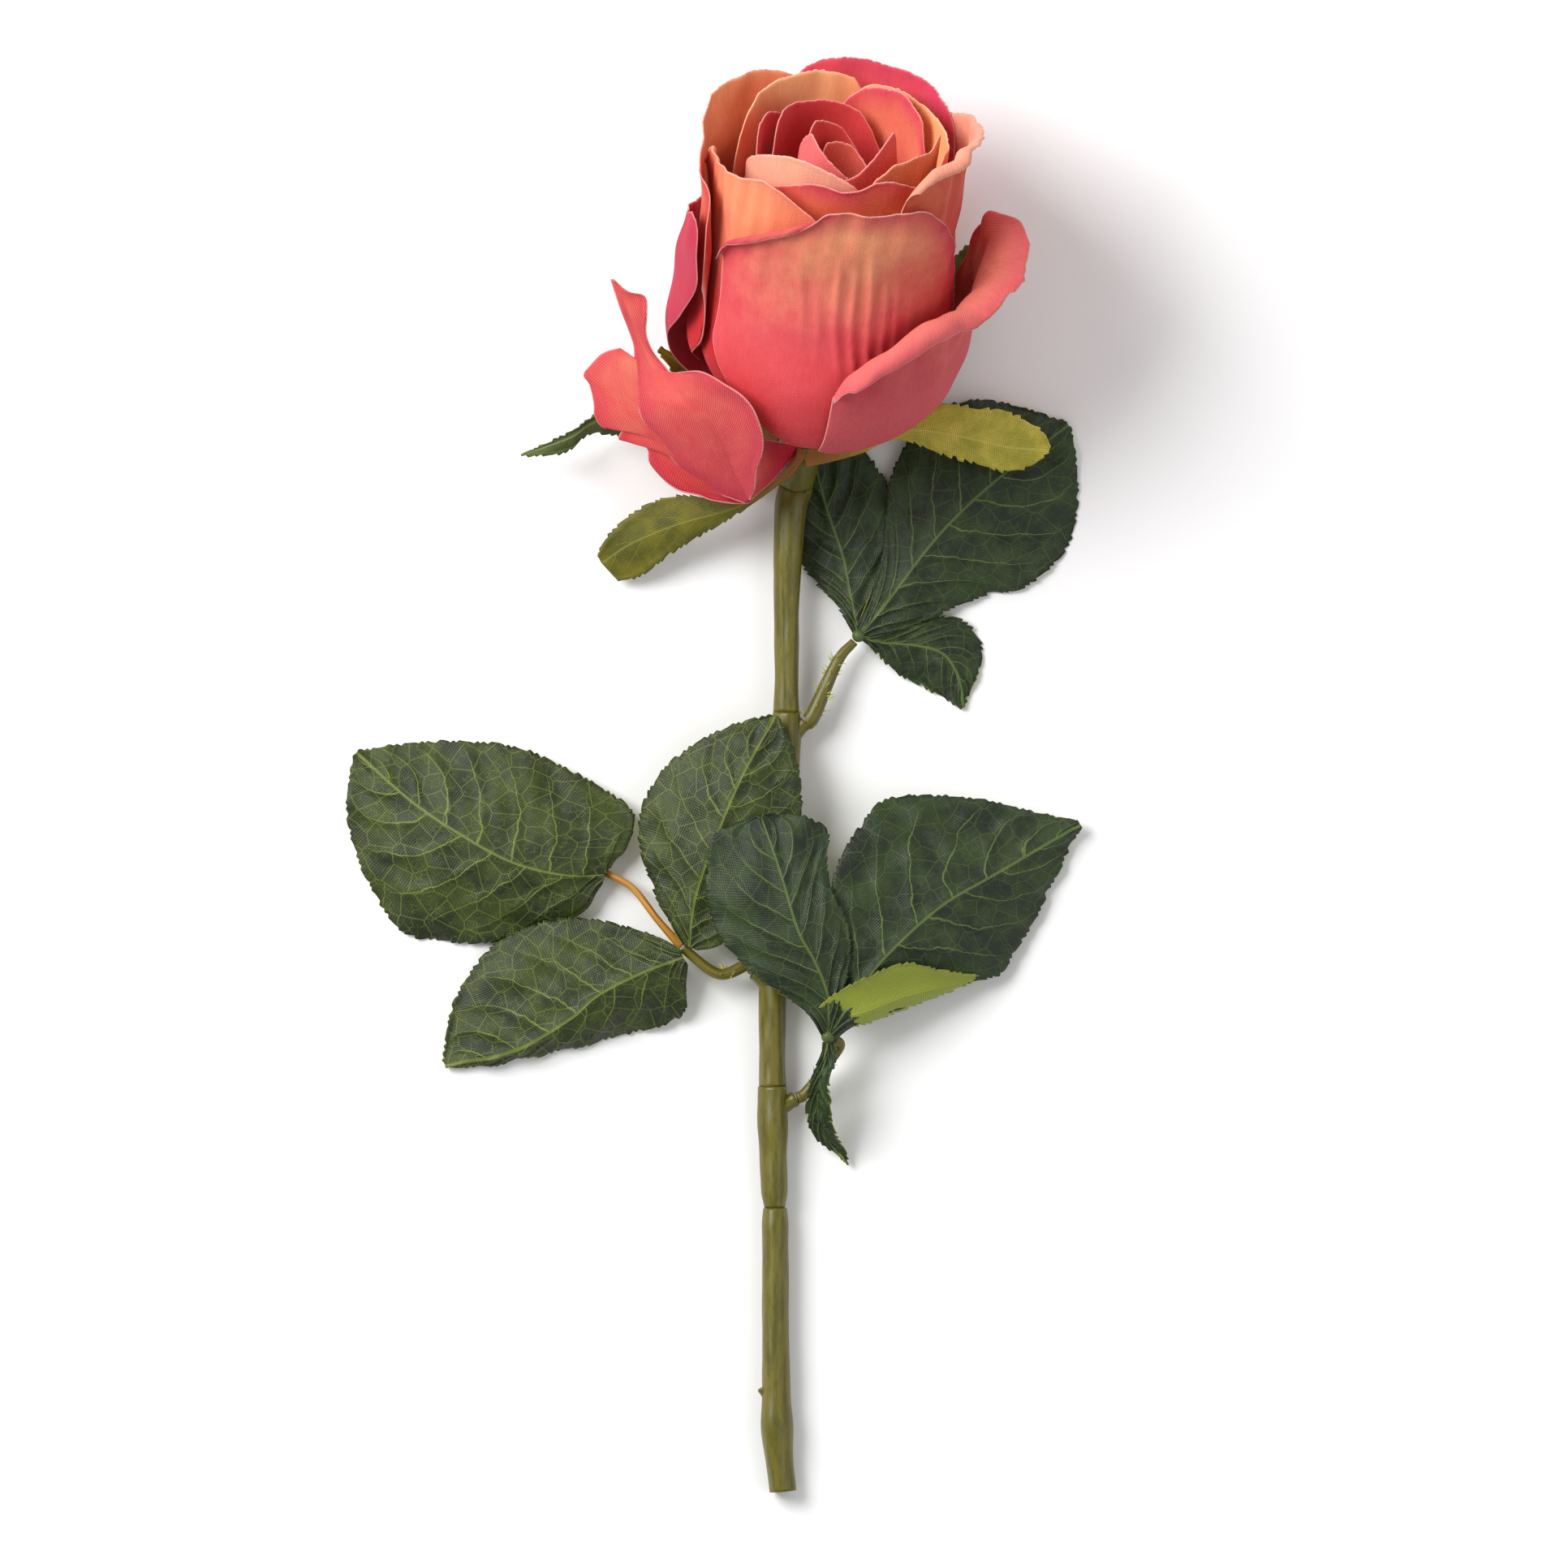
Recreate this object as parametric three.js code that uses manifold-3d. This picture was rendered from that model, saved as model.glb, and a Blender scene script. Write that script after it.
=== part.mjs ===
// Artificial cut rose lying on its side: heat-set fabric petals, sepals and leaves on a
// moulded plastic stem whose pieces are threaded on a steel wire.
// Millimetres, +Z up. The surface it lies on is z = 0 and the flower points along +Y.
import * as THREE from 'three';
import { mergeVertices } from 'three/addons/utils/BufferGeometryUtils.js';
import Module from 'manifold-3d';

const wasm = await Module();
wasm.setup();

// ---- Driving dimensions -------------------------------------------------------------------
const fabricThickness = 0.45;
const seatGap = 0.3; // clearance between pieces that touch

const hipHeight = 11; // centre of the hip above the surface
const hipRadius = 5.2;
const hipHalfLength = 6.4;

const bloomTilt = 32; // degrees that the bloom's axis rises above the surface
const bloomLean = 8.4; // degrees that it leans to +X
const bloomRadius = 36.5; // belly radius of layer 0, which the whole bloom follows in proportion
const bellyShare = 0.52; // belly height as a share of each petal's height
const frontFullness = 4.2; // roundness of the cup below its belly, at the front and sides
const backFullness = 2.3; // and at the back, where the bloom lies on the surface
const coreRadius = 4.4; // radius of the core's foot
const coreTaper = 0.115; // radius that the core loses for each millimetre of height
const coreBase = hipHalfLength + seatGap;
const tabHalfWidth = 2.6; // half width of each petal's foot tab

const stemLength = 249;
const stemRadius = 3.2;
const neckStraight = 2; // the neck leaves the hip along the bloom's axis for this far
const stemSides = 10;
const ringStep = 7; // spacing of the rings along a stem piece
const wireRadius = 0.9;
const wireClearance = 0.35;
const wireInset = 0.6; // the wire stops short of both ends of the stem
const forkAt = 57; // distances along the stem from the hip to its three splices
const nodeAt = 149.5;
const spliceAt = 179.5;
const spurFromEnd = 20; // the cut spur, measured up from the cut end
const restClearance = 0.15; // least height of the stem's underside

const petioleRadius = 1.3;
const petioleSides = 8;
const nubStraight = 2.5; // a petiole leaves its nub straight for this far
const nubLength = 5.2;
const nubRadius = 2;
const nubStop = 0.6; // wall left between a nub's inner end and the bore
const hubRadius = 1.7;
const leafHeights = 1; // how far the leaves arch: 1 is their set shape

// Petal heights, sepals and the reflexed petal are drawn for a bloom of this size and pose.
const drawnFor = { radius: 36.5, tilt: 32, lean: 8.4 };
const bloomSize = bloomRadius / drawnFor.radius;
const layerPitch = 1.65 * bloomSize; // radial step from one petal layer to the next one in
const coreHeight = 26 * bloomSize;
const rimHeight = 85 * bloomSize; // the height that sets the curve of every petal's cup

// ---- Materials ----------------------------------------------------------------------------
const fabric = (color) => new THREE.MeshStandardMaterial({ color, roughness: 0.85, metalness: 0 });
const moulded = (color) => new THREE.MeshStandardMaterial({ color, roughness: 0.45, metalness: 0 });
const coral = () => fabric(0xe8685f);
const deepCoral = () => fabric(0xd94a48);
const peach = () => fabric(0xeb9a72);
const leafGreen = () => fabric(0x3b5229);
const sepalGreen = () => fabric(0xa3a33c);
const stemGreen = () => moulded(0x6e7330);
const petioleOrange = () => moulded(0xb98638);
const steel = () => new THREE.MeshStandardMaterial({ color: 0x9a9a98, roughness: 0.4, metalness: 1 });

// ---- Solids -------------------------------------------------------------------------------
const radians = (degrees) => THREE.MathUtils.degToRad(degrees);
const mix = THREE.MathUtils.lerp;
const smooth = (x) => THREE.MathUtils.smoothstep(x, 0, 1);

function closed(geometry) {
  geometry.deleteAttribute('normal');
  geometry.deleteAttribute('uv');
  const merged = mergeVertices(geometry, 1e-5);
  const index = merged.index.array;
  const at = (i) => new THREE.Vector3().fromBufferAttribute(merged.attributes.position, i);
  let volume = 0;
  const kept = [];
  for (let i = 0; i < index.length; i += 3) {
    const [a, b, c] = [index[i], index[i + 1], index[i + 2]];
    if (a === b || b === c || c === a) continue;
    kept.push(a, b, c);
    volume += at(a).dot(at(b).cross(at(c)));
  }
  if (volume < 0) kept.reverse();
  merged.setIndex(kept);
  return merged;
}

function toManifold(geometry) {
  const vertProperties = Float32Array.from(geometry.attributes.position.array);
  const triVerts = Uint32Array.from(geometry.index.array);
  return new wasm.Manifold(new wasm.Mesh({ numProp: 3, vertProperties, triVerts }));
}

function fromManifold(solid) {
  const mesh = solid.getMesh();
  const result = new THREE.BufferGeometry();
  result.setAttribute('position', new THREE.BufferAttribute(mesh.vertProperties, 3));
  result.setIndex(Array.from(mesh.triVerts));
  return closed(result);
}

const joined = (geometries) => fromManifold(
  geometries.map(toManifold).reduce((sum, next) => sum.add(next)),
);

// A sheet of fabric: a thin box bent so that its middle follows surface(across, along),
// with both arguments from 0 to 1.
function sheetSolid(surface, columns, rows) {
  const box = new THREE.BoxGeometry(1, 1, 1, columns, rows, 1);
  const place = box.attributes.position;
  const step = 0.004;
  for (let i = 0; i < place.count; i += 1) {
    const across = place.getX(i) + 0.5;
    const along = place.getY(i) + 0.5;
    const middle = surface(across, along);
    const sideways = surface(Math.min(1, across + step), along)
      .sub(surface(Math.max(0, across - step), along));
    const upward = surface(across, Math.min(1, along + step))
      .sub(surface(across, Math.max(0, along - step)));
    const normal = sideways.cross(upward).normalize();
    middle.addScaledVector(normal, place.getZ(i) * fabricThickness);
    place.setXYZ(i, middle.x, middle.y, middle.z);
  }
  return closed(box);
}

// Bends a geometry made along +Y so that Y becomes the distance along a curve.
function bend(geometry, curve, start) {
  const place = geometry.attributes.position;
  const total = curve.getLength();
  const up = new THREE.Vector3(0, 0, 1);
  for (let i = 0; i < place.count; i += 1) {
    const share = THREE.MathUtils.clamp((start + place.getY(i)) / total, 0, 1);
    const along = curve.getTangentAt(share);
    const side = along.clone().cross(up).normalize();
    const over = side.clone().cross(along);
    const point = curve.getPointAt(share);
    point.addScaledVector(side, place.getX(i)).addScaledVector(over, place.getZ(i));
    place.setXYZ(i, point.x, point.y, point.z);
  }
  return closed(geometry);
}

const vectors = (points) => points.map((point) => new THREE.Vector3(...point));
const curveThrough = (points) => new THREE.CatmullRomCurve3(vectors(points), false, 'centripetal');

// ---- Bloom --------------------------------------------------------------------------------
// The bloom stands along its own +Z. Azimuth 0 is its front, which faces up when it lies down,
// and azimuth 90 is its right. A crest is the petal's rim as [azimuth, height] pairs.
const petals = [
  { name: 'petal_front', layer: 1.2, foot: 10.4, colour: coral, flare: [1, 1, 0.4], waist: 0.5,
    crest: [[-49, 70], [-34.5, 80], [-23, 85], [-15, 88], [-6, 91], [4, 94.4], [14.5, 94], [24, 94.4],
      [31, 94.6], [39, 93.4], [49, 88], [60, 79], [68, 68], [74, 58]] },
  { name: 'petal_right_outer', layer: -0.3, foot: 7.2, colour: coral, flare: [2, 10, 1],
    flareFrom: 0.6, waist: 0.26, fullness: 3,
    crest: [[9, 43], [21.5, 54.2], [29.5, 58.4], [37, 61.2], [44, 63.2], [52.5, 63.4], [60, 63.4],
      [66, 69], [73, 70], [80, 76], [88, 79], [100, 75.6], [112, 66], [120, 50]] },
  { name: 'petal_left_outer', layer: -0.6, foot: 8.2, colour: deepCoral, flare: [0, -1.2, 0],
    flareFrom: 0.5, waist: 0.7,
    crest: [[-150, 50], [-135, 57], [-120, 61], [-105, 64], [-92, 66.4], [-80, 70], [-71, 74],
      [-65, 74.4], [-57, 60]] },
  { name: 'petal_back_outer', layer: 0.6, foot: 9.2, colour: deepCoral, flare: [0.4, 2, 1.4],
    crest: [[122, 56], [132, 72], [152, 80], [180, 80], [198, 70], [206, 54]] },
  { name: 'petal_right', layer: 3, foot: 11.6, colour: coral, flare: [0, 3, 1.6], flareFrom: 0.82,
    crest: [[24, 72], [31, 95.6], [43.5, 103], [56, 103.6], [66, 104], [75, 103.6], [90, 101],
      [105, 98.4], [119.5, 96.6], [127, 94], [134, 92], [148, 82]] },
  { name: 'petal_back', layer: 3.9, foot: 12.6, colour: coral, flare: [0, 2.4, 1],
    crest: [[116, 84], [131, 94.4], [142.5, 96.4], [151.5, 97.2], [159, 97.4], [165, 97], [176, 97.4],
      [185.5, 97.6], [195, 96.5], [203, 94], [216, 82]] },
  { name: 'petal_left_back', layer: 2.2, foot: 13.6, colour: peach, flare: [0.5, 2.8, 2.4],
    flareFrom: 0.72, waist: 0.6,
    crest: [[-168, 86], [-151, 92], [-144, 93], [-137, 94], [-130, 94.4], [-119, 94.4], [-110, 93.6],
      [-101, 92], [-92, 89], [-82, 86], [-74, 85], [-66, 83.6], [-58, 58]] },
  { name: 'petal_front_left', layer: 3.6, foot: 14.6, colour: peach, flare: [2.2, 1.6, 0.6],
    crest: [[-94, 80], [-86, 87], [-74, 89], [-66, 89.4], [-50, 91], [-35, 95], [-26, 94], [-17.5, 91],
      [-8.5, 88.5], [4, 78]] },
  { name: 'petal_inner_back', layer: 6.2, foot: 15.8, colour: peach, flare: [0.4, 0.6, 0.4],
    crest: [[-188, 90], [-179.5, 95], [-170.5, 96.4], [-158, 97], [-147, 96.6], [-136.5, 96],
      [-127, 95], [-115.5, 94], [-108, 90], [-102, 82], [-97, 72]] },
  { name: 'petal_inner_front', layer: 6.3, foot: 15.8, colour: deepCoral, flare: [0.6, 0.8, 0.6],
    crest: [[-54, 80], [-45, 87], [-38.5, 90], [-27, 93], [-16, 95.6], [-7, 96], [1.5, 95], [11.5, 96],
      [18.5, 98], [27.5, 98], [37.5, 96], [46, 94], [60, 82]] },
  { name: 'petal_inner_right', layer: 7.3, foot: 17, colour: peach, flare: [0.4, 0.6, 0.4],
    crest: [[50, 86], [68, 95], [76, 96.4], [90, 95.5], [103.5, 94.5], [117, 95], [132, 95.5],
      [145.5, 96], [155, 96.5], [165, 96], [174.5, 95], [188, 84]] },
  { name: 'petal_pale_front', layer: 8.3, foot: 18, colour: peach, flare: [0.8, 1, 0.2],
    crest: [[-90, 78], [-80, 86], [-70, 90], [-63.5, 92], [-50, 95.5], [-34, 98.4], [-22.5, 99.4],
      [-9.5, 98], [3, 96], [11.5, 93.6], [24, 80]] },
  { name: 'petal_peak_right', layer: 9.3, foot: 19.2, colour: peach, flare: [0.4, 0.6, 1.6],
    crest: [[8, 78], [22.5, 95], [34.5, 99], [55.5, 99.4], [70, 98], [78, 99], [84, 101], [92, 84]] },
  { name: 'petal_nested_left', layer: 9.4, foot: 19.2, colour: deepCoral, flare: [0.4, 0.6, 0.4],
    crest: [[-152, 76], [-134, 88], [-126, 91], [-114, 93], [-96, 93], [-84, 82]] },
  { name: 'petal_nested_back', layer: 9.5, foot: 19.2, colour: coral, flare: [0.4, 0.8, 0.4],
    crest: [[112, 84], [119, 91], [125, 95], [135.5, 97], [147.5, 98], [162, 97.5], [174, 96],
      [184.5, 92], [196, 80]] },
  { name: 'petal_heart_back', layer: 11.6, foot: 21.2, colour: deepCoral, flare: [0.2, 0.4, 0.2],
    crest: [[145, 80], [154.5, 84], [171, 91], [185, 93], [199, 94], [213, 94.4], [229.5, 95],
      [250, 96], [266, 93], [276, 84]] },
  { name: 'petal_heart_front', layer: 13.2, foot: 22.4, colour: coral, flare: [0.2, 0.6, 1.2],
    crest: [[-22, 82], [-3, 90], [14.5, 93], [30, 98], [40, 102], [50, 102], [58, 92], [70, 80]] },
  { name: 'petal_bud_front', layer: 15.6, foot: 24.4, colour: coral, flare: [0.4, 0.2, 0.2],
    crest: [[-95, 84], [-80, 91], [-66, 95.4], [-53, 98], [-41.5, 96.6], [-18.5, 93], [10, 89],
      [40, 82]] },
  { name: 'petal_bud_back', layer: 16.4, foot: 25.4, colour: deepCoral, flare: [0.1, 0.2, 0.1],
    crest: [[140, 80], [160, 85], [177, 88.4], [189, 91], [211, 93], [237, 94.4], [258, 93], [275, 84]] },
  { name: 'petal_bud_right', layer: 18.2, foot: 27.4, colour: coral, flare: [0.1, 0.2, 0.1],
    crest: [[30, 74], [70, 82], [120, 85], [150, 86.4], [166, 88], [196, 89], [229, 89], [250, 80]] },
  { name: 'petal_bud_heart', layer: 19.9, foot: 29.4, colour: coral, flare: [0, 0, 0],
    crest: [[-130, 72], [-80, 84], [-20, 87], [30, 84], [70, 74]] },
];

function along(pairs, x) {
  const next = Math.max(1, pairs.findIndex((pair) => pair[0] >= x));
  const [a, b] = [pairs[next - 1], pairs[next]];
  return mix(a[1], b[1], (x - a[0]) / (b[0] - a[0]));
}

const coreRadiusAt = (height) => coreRadius - coreTaper * (height - coreBase);

// Radius of the cup at a share of the petal's height. Only its back is less full.
function cupRadius(footRadius, belly, front, azimuth, share) {
  const back = ((1 - Math.cos(radians(azimuth))) / 2) ** 3;
  const fullness = mix(front, backFullness, back);
  const rise = 1 - (1 - Math.min(1, share / bellyShare)) ** fullness;
  return mix(footRadius, belly, rise);
}

function petalSurface(petal) {
  const { crest, flare, layer } = petal;
  const foot = petal.foot * bloomSize;
  const belly = bloomRadius - layer * layerPitch;
  const footRadius = coreRadiusAt(foot) + seatGap + fabricThickness / 2;
  const flareFrom = petal.flareFrom ?? 0.72;
  const waist = petal.waist ?? 0.6; // share of the height where the petal reaches its full width
  const first = crest[0][0];
  const last = crest[crest.length - 1][0];
  const middle = (first + last) / 2;
  const halfWidth = belly * radians(last - first) / 2;
  return (across, up) => {
    const widest = mix(first, last, across);
    const top = bloomSize * along(crest, THREE.MathUtils.clamp(widest, first, last));
    const height = mix(foot, top, up);
    const share = (height - foot) / (rimHeight - foot);
    const radius = cupRadius(footRadius, belly, petal.fullness ?? frontFullness, widest, share);
    const width = mix(tabHalfWidth, halfWidth, smooth(share / waist));
    const narrowed = Math.min(1, (width / halfWidth) * (belly / radius));
    const azimuth = radians(middle + (widest - middle) * narrowed);
    const side = 2 * across - 1;
    const lip = side < 0 ? mix(flare[1], flare[0], side * side) : mix(flare[1], flare[2], side * side);
    const reach = radius + lip * Math.max(0, (up - flareFrom) / (1 - flareFrom)) ** 2;
    return new THREE.Vector3(reach * Math.sin(azimuth), -reach * Math.cos(azimuth), height);
  };
}

function petalMesh(petal) {
  const wide = petal.crest[petal.crest.length - 1][0] - petal.crest[0][0];
  const columns = petal.layer > 10 ? 7 : Math.round(wide / 15);
  return named(petal.name, sheetSolid(petalSurface(petal), columns, 7), petal.colour());
}

function named(name, geometry, material) {
  const mesh = new THREE.Mesh(geometry, material);
  mesh.name = name;
  return mesh;
}

function coreMesh() {
  const top = coreBase + coreHeight;
  const profile = [[0, coreBase], [coreRadius, coreBase], [coreRadiusAt(top), top], [0, top]]
    .map(([radius, height]) => new THREE.Vector2(radius, height));
  const geometry = new THREE.LatheGeometry(profile, stemSides).rotateX(Math.PI / 2);
  return named('bloom_core', closed(geometry), moulded(0xb9c08a));
}

function hipMesh() {
  const geometry = new THREE.SphereGeometry(1, 16, 10);
  geometry.rotateX(Math.PI / 2).scale(hipRadius, hipRadius, hipHalfLength);
  return named('hip', closed(geometry), stemGreen());
}

// ---- Leaves, sepals and the reflexed petal --------------------------------------------------
// A blade is laid out from its root along a heading. Its rib and two margins are lists of
// [share of the length along, share across to the left, height], from the root to the tip.
function bladeSurface(blade) {
  const heading = radians(blade.heading);
  const forward = new THREE.Vector3(Math.cos(heading), Math.sin(heading), 0);
  const leftward = new THREE.Vector3(-Math.sin(heading), Math.cos(heading), 0);
  const size = blade.size ?? 1;
  const lay = (stations) => curveThrough(stations.map(([ahead, left, height]) => [
    size * (blade.root[0] + blade.length * (ahead * forward.x + left * leftward.x)),
    size * (blade.root[1] + blade.length * (ahead * forward.y + left * leftward.y)),
    size * height * leafHeights,
  ]));
  const [rib, left, right] = [blade.rib, blade.left, blade.right].map(lay);
  return (across, up) => {
    const side = 2 * across - 1;
    const share = mix(0.02, 0.98, up);
    const middle = rib.getPointAt(share);
    const margin = (side > 0 ? left : right).getPointAt(share);
    const reach = Math.abs(side);
    const point = middle.clone().lerp(margin, reach);
    point.z = mix(middle.z, margin.z, reach ** 1.5);
    return point;
  };
}

// The moulded boss where a spray's lobes meet.
function hub([x, y], height) {
  return closed(new THREE.SphereGeometry(hubRadius, 10, 8).translate(x, y, height));
}

const bladeSolid = (blade) => sheetSolid(bladeSurface(blade), blade.columns ?? 6, blade.rows ?? 8);

const leftEndLeaf = {
  root: [-47.4, -101.8], length: 69.4, heading: 154,
  rib: [[0, 0, 5], [0.14, 0.07, 8], [0.33, 0.11, 9], [0.55, 0.1, 8], [0.75, 0.07, 5], [1, 0, 1.5]],
  left: [[0, 0.02, 5], [0.03, 0.18, 4], [0.24, 0.38, 2], [0.4, 0.46, 1], [0.57, 0.5, 0.8],
    [0.76, 0.39, 1], [0.92, 0.22, 1.2], [1, 0, 1.5]],
  right: [[0, -0.02, 5], [-0.02, -0.12, 6], [0.02, -0.24, 5], [0.22, -0.27, 4], [0.45, -0.27, 3],
    [0.62, -0.22, 2], [0.8, -0.13, 1.6], [1, 0, 1.5]],
};
const leftLowLeaf = {
  root: [-28, -122], length: 65.8, heading: -156,
  rib: [[0, 0, 9.4], [0.18, -0.01, 10], [0.36, 0, 9], [0.5, 0.04, 7.4], [0.74, 0.06, 5], [1, 0, 1.5]],
  left: [[0, 0.02, 9.4], [0.04, 0.09, 8], [0.1, 0.19, 3], [0.26, 0.19, 1.4], [0.52, 0.14, 1.2],
    [0.85, 0.07, 1.2], [1, 0, 1.5]],
  right: [[0, -0.02, 9.4], [0.06, -0.1, 8.6], [0.16, -0.19, 7.6], [0.34, -0.31, 6], [0.53, -0.34, 4.6],
    [0.67, -0.32, 3.4], [0.86, -0.2, 2], [1, 0, 1.5]],
};
const leftHighLeaf = {
  root: [-27.2, -120.4], length: 62.1, heading: 69,
  rib: [[0, 0, 10], [0.2, 0.05, 13], [0.44, 0.06, 15], [0.72, 0.05, 15], [1, 0.01, 13]],
  left: [[0, 0.02, 10], [0.07, 0.11, 10], [0.22, 0.26, 9], [0.38, 0.36, 8.4], [0.55, 0.37, 8.6],
    [0.73, 0.3, 10], [0.9, 0.15, 12], [1, 0.01, 13]],
  right: [[0, -0.02, 10], [0.08, -0.12, 11.4], [0.31, -0.23, 13], [0.53, -0.27, 13], [0.7, -0.21, 13],
    [0.88, -0.11, 13], [1, 0.01, 13]],
};
const rightSprayRoot = [7, -141.8];
const rightLobes = [
  { root: rightSprayRoot, length: 57, heading: 107,
    rib: [[0, 0, 14], [0.17, -0.05, 17], [0.33, -0.04, 19.4], [0.48, -0.01, 20.4], [0.75, -0.01, 20],
      [1, 0, 18]],
    left: [[0, 0.02, 14], [0.13, 0.06, 16], [0.33, 0.21, 17.6], [0.49, 0.3, 17.6], [0.67, 0.33, 17.4],
      [0.84, 0.29, 17.2], [0.98, 0.2, 17.2], [1, 0, 18]],
    right: [[0, -0.03, 14], [0.17, -0.13, 16.8], [0.4, -0.22, 18.4], [0.62, -0.2, 18.2], [0.74, -0.22, 18],
      [0.85, -0.26, 17.8], [0.95, -0.16, 17.8], [1, 0, 18]] },
  { root: rightSprayRoot, length: 82, heading: 40,
    rib: [[0, 0, 14], [0.21, 0.06, 16], [0.37, 0.08, 15.6], [0.53, 0.08, 13.6], [0.7, 0.05, 10], [1, 0, 3]],
    left: [[0, 0.02, 14], [0.11, 0.15, 17.4], [0.23, 0.28, 18], [0.36, 0.38, 16.4], [0.48, 0.42, 14],
      [0.6, 0.43, 11], [0.78, 0.28, 7], [1, 0, 3]],
    right: [[0, -0.02, 14], [0.1, -0.03, 13.2], [0.24, -0.08, 10], [0.41, -0.14, 6.4], [0.52, -0.19, 4],
      [0.58, -0.17, 3.4], [0.7, -0.13, 2.4], [0.86, -0.06, 2], [1, 0, 3]] },
  { root: [7, -142.6], length: 31.3, heading: -80,
    rib: [[0, 0, 13.8], [0.17, -0.05, 12.6], [0.4, -0.14, 9], [0.7, -0.16, 5], [1, 0, 1.6]],
    left: [[0, 0.04, 13.8], [0.12, 0.04, 14.6], [0.35, -0.05, 15], [0.6, -0.09, 12.6], [0.8, -0.05, 7],
      [1, 0, 1.6]],
    right: [[0, -0.04, 13.8], [0.12, -0.08, 12.4], [0.3, -0.18, 9.4], [0.5, -0.26, 7], [0.75, -0.22, 3.4],
      [1, 0, 1.6]] },
];
// The flap folded up over the right spray's middle lobe, in millimetres.
const rightFold = {
  root: [0, 0], length: 1, heading: 0, columns: 3, rows: 7,
  rib: [[8, -137, 14], [16, -135.4, 15.6], [26.2, -131.6, 13], [36, -129.2, 9.6], [45, -127, 5.4]],
  left: [[3.4, -136, 16], [7.4, -132.2, 18], [16, -127.4, 19], [26, -123.8, 16.8], [34.6, -125.4, 13],
    [44.8, -126.8, 6]],
  right: [[8, -138, 13.2], [15.2, -138.9, 12.5], [26.4, -134.8, 9.4], [36, -131.2, 7], [45, -127.4, 4.8]],
};
const upperSprayRoot = [14.6, -43];
const upperLobes = [
  { root: upperSprayRoot, length: 45.9, heading: 104,
    rib: [[0, 0, 5], [0.24, -0.01, 4], [0.44, -0.02, 3], [0.71, 0, 2], [1, 0, 1.4]],
    left: [[0, 0.02, 5], [0.2, 0.08, 3.4], [0.34, 0.16, 2.2], [0.47, 0.21, 1.6], [0.65, 0.22, 1.4],
      [0.83, 0.17, 1.2], [1, 0, 1.4]],
    right: [[0, -0.04, 5], [0.1, -0.12, 5], [0.2, -0.22, 4.4], [0.44, -0.31, 3.4], [0.69, -0.35, 2.4],
      [0.83, -0.32, 1.8], [0.98, -0.24, 1.4], [1, 0, 1.4]] },
  { root: upperSprayRoot, length: 74.1, heading: 45,
    rib: [[0, 0, 5], [0.13, 0.01, 5.6], [0.34, 0.04, 6.4], [0.5, 0.05, 6], [0.7, 0.04, 4.4], [1, 0, 1.8]],
    left: [[0, 0.02, 5], [0.1, 0.06, 5], [0.24, 0.13, 4.4], [0.41, 0.27, 3.6], [0.53, 0.33, 3],
      [0.64, 0.35, 2.6], [0.76, 0.33, 2.2], [0.88, 0.22, 2], [1, 0, 1.8]],
    right: [[0, -0.02, 5], [0.15, -0.1, 4], [0.27, -0.15, 2.6], [0.39, -0.2, 1.6], [0.49, -0.27, 1],
      [0.6, -0.29, 0.8], [0.73, -0.27, 0.8], [0.86, -0.17, 1], [1, 0, 1.8]] },
  { root: upperSprayRoot, length: 31.6, heading: -35,
    rib: [[0, 0, 5], [0.17, 0.06, 4.2], [0.44, 0.21, 3.4], [0.63, 0.26, 2.8], [0.82, 0.18, 2], [1, 0, 1]],
    left: [[0, 0.03, 5], [0.14, 0.17, 4.2], [0.28, 0.31, 3.4], [0.4, 0.46, 2.6], [0.55, 0.55, 2],
      [0.72, 0.55, 1.4], [0.88, 0.42, 1], [1, 0, 1]],
    right: [[0, -0.01, 5], [0.14, -0.02, 4], [0.28, -0.05, 2.6], [0.44, -0.06, 1.4], [0.69, -0.03, 0.8],
      [1, 0, 1]] },
];
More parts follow.
